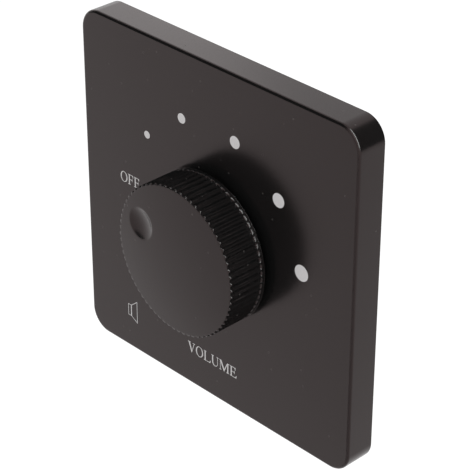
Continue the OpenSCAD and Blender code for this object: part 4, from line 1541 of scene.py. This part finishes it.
@dataclass
class Studio:
    """The camera at the photograph's angle, the white floor and world, softboxes and dark cards."""

    plate: FrontPlate
    azimuth: float = math.radians(45.9616)
    elevation: float = math.radians(30.7019)
    roll: float = math.radians(0.1544)
    distance: float = 437.1 * MM
    shift: Point = (5.057 * MM, 0.793 * MM)
    lens: float = 150.11
    sensor: float = 36.0
    clip_start: float = 1 * MM
    world_tones: tuple[Colour, Colour] = ((0.75, 0.75, 0.75), (1.0, 1.0, 1.0))
    floor_drop: float = 350 * MM
    floor_size: float = 6.0
    floor_colour: Colour = (0.8, 0.8, 0.8)
    floor_roughness: float = 0.9
    floor_glow: tuple[Colour, Colour] = ((0.0, 0.0, 0.0), (0.45, 0.45, 0.45))
    softboxes: tuple[Softbox, ...] = (
        Softbox("left_softbox", (-0.804, 0.455, 0.383), 0.9, 0.44, 0.42, 0.8),
        Softbox("camera_softbox", (0.55, -0.6, 0.6), 0.9, 0.6, 0.6, 1.0),
        Softbox("cool_strip", (0.7, -0.22, 0.66), 0.9, 0.2, 1.5, 19.0, (0.67, 1.0, 1.0), False))
    cards: tuple[Card, ...] = (
        Card("back_card", (0.7, 0.7, 0.0), 1.84, 4.4, 8.4, 0.89, 0.5),
        Card("left_card", (-0.62, -0.6, 0.45), 0.8, 0.8, 1.1),
        Card("front_card", (-0.35, -1.0, -0.48), 0.37, 0.8, 0.8, 0.25, 0.9),
        Card("right_card", (0.62, 0.6, -0.3), 0.5, 0.8, 0.8, 0.23, 0.9),
        Card("low_card", (0.45, -0.45, -0.77), 0.3, 0.5, 0.5, 0.3, 0.5))

    def build(self) -> None:
        """Sets the whole studio up."""
        bpy.context.scene.view_settings.view_transform = "Standard"
        self._camera()
        self._world()
        self._floor()
        for softbox in self.softboxes:
            self._lamp(softbox)
        for card in self.cards:
            self._card(card)

    def _camera(self) -> None:
        """Places the camera, which looks past the middle of the plate's front."""
        sin_a, cos_a = math.sin(self.azimuth), math.cos(self.azimuth)
        sin_e, cos_e = math.sin(self.elevation), math.cos(self.elevation)
        back = Vector((sin_a * cos_e, -cos_a * cos_e, sin_e))
        level = Vector((cos_a, sin_a, 0.0))
        right = level * math.cos(self.roll) + back.cross(level) * math.sin(self.roll)
        up = back.cross(right)
        middle = STAND_UP @ self.plate.middle_front
        place = middle + back * self.distance + right * self.shift[0] + up * self.shift[1]
        data = bpy.data.cameras.new("photo_camera")
        data.lens = self.lens
        data.sensor_width = self.sensor
        data.clip_start = self.clip_start
        camera = bpy.data.objects.new("photo_camera", data)
        camera.matrix_world = Matrix.Translation(place) @ Matrix((right, up, back)).transposed().to_4x4()
        bpy.context.scene.collection.objects.link(camera)
        bpy.context.scene.camera = camera

    @staticmethod
    def _seen(bench: Bench) -> Tone:
        """Gives 1 on rays from the camera, a reflection or something clear, and 0 on other rays.

        Args:
            bench: Where nodes are made.

        Returns:
            The mask.
        """
        seen = bench.node("ShaderNodeLightPath", output="Is Camera Ray")
        for ray in ("Is Glossy Ray", "Is Transmission Ray"):
            seen = seen.larger(bench.node("ShaderNodeLightPath", output=ray))
        return seen

    def _world(self) -> None:
        """Makes a white world, a little dimmer where it only lights matt surfaces."""
        world = bpy.data.worlds.new("white_tent")
        world.use_nodes = True
        bpy.context.scene.world = world
        bench = Bench(world.node_tree)
        bench.feed(world.node_tree.nodes["Background"].inputs["Color"],
                   bench.blend(self._seen(bench), *self.world_tones))

    def _floor(self) -> None:
        """Lays the pale floor, which looks white and still takes a shadow."""
        bm = bmesh.new()
        bmesh.ops.create_grid(bm, x_segments=1, y_segments=1, size=self.floor_size / 2,
                              matrix=Matrix.Translation((0, 0, CAD_BOX[0][2] - self.floor_drop)))
        material, bench = new_material("white_floor")
        bench.dress({"Base Color": self.floor_colour,
                     "Roughness": self.floor_roughness,
                     "Specular IOR Level": 0.0,
                     "Emission Color": bench.blend(self._seen(bench), *self.floor_glow),
                     "Emission Strength": 1.0})
        add_object("floor", bm, material)

    @staticmethod
    def _facing_object(direction: Sequence[float], distance: float) -> Matrix:
        """Gives the place and turn of something that faces the object from a direction, upright."""
        away = Vector(direction).normalized()
        return Matrix.Translation(away * distance) @ away.to_track_quat("Z", "Y").to_matrix().to_4x4()

    def _lamp(self, softbox: Softbox) -> None:
        """Sets up a softbox.

        Args:
            softbox: What it is like.
        """
        data = bpy.data.lights.new(softbox.name, "AREA")
        data.shape = "RECTANGLE"
        data.size = softbox.width
        data.size_y = softbox.height
        data.energy = softbox.brightness * math.pi * softbox.width * softbox.height
        data.color = softbox.colour
        lamp = bpy.data.objects.new(softbox.name, data)
        lamp.matrix_world = self._facing_object(softbox.direction, softbox.distance)
        lamp.visible_diffuse = softbox.lights_matt
        bpy.context.scene.collection.objects.link(lamp)

    def _card(self, card: Card) -> None:
        """Sets up a dark card that neither the camera nor matt surfaces see.

        Args:
            card: What it is like.
        """
        bm = bmesh.new()
        bmesh.ops.create_grid(bm, x_segments=1, y_segments=1, size=0.5)
        bmesh.ops.scale(bm, vec=(card.width, card.height, 1.0), verts=bm.verts[:])
        material, bench = new_material(card.name)
        bench.dress({"Base Color": card.colour, "Roughness": 1.0, "Specular IOR Level": 0.0})
        clear = bench.node("ShaderNodeBsdfTransparent")
        solid = Tone(bench, bench.shader.outputs["BSDF"])
        veiled = bench.node("ShaderNodeMixShader", sockets={0: card.veil(bench), 1: clear, 2: solid})
        bench.feed(bench.tree.nodes["Material Output"].inputs["Surface"], veiled)
        staged = add_object(card.name, bm, material)
        staged.matrix_world = self._facing_object(card.direction, card.distance)
        staged.visible_camera = False
        staged.visible_diffuse = False
        staged.visible_shadow = False


def main() -> None:
    """Builds the studio and the pieces in order."""
    logging.basicConfig(level=logging.INFO, format="%(message)s")
    plate = FrontPlate()
    Studio(plate).build()
    plate.build()
    Knob().build()
    DialMarks(plate).build()
    Mechanism().dress()
    BoardFittings().build()
    TapeEnd().build()


if __name__ == "__main__":
    main()
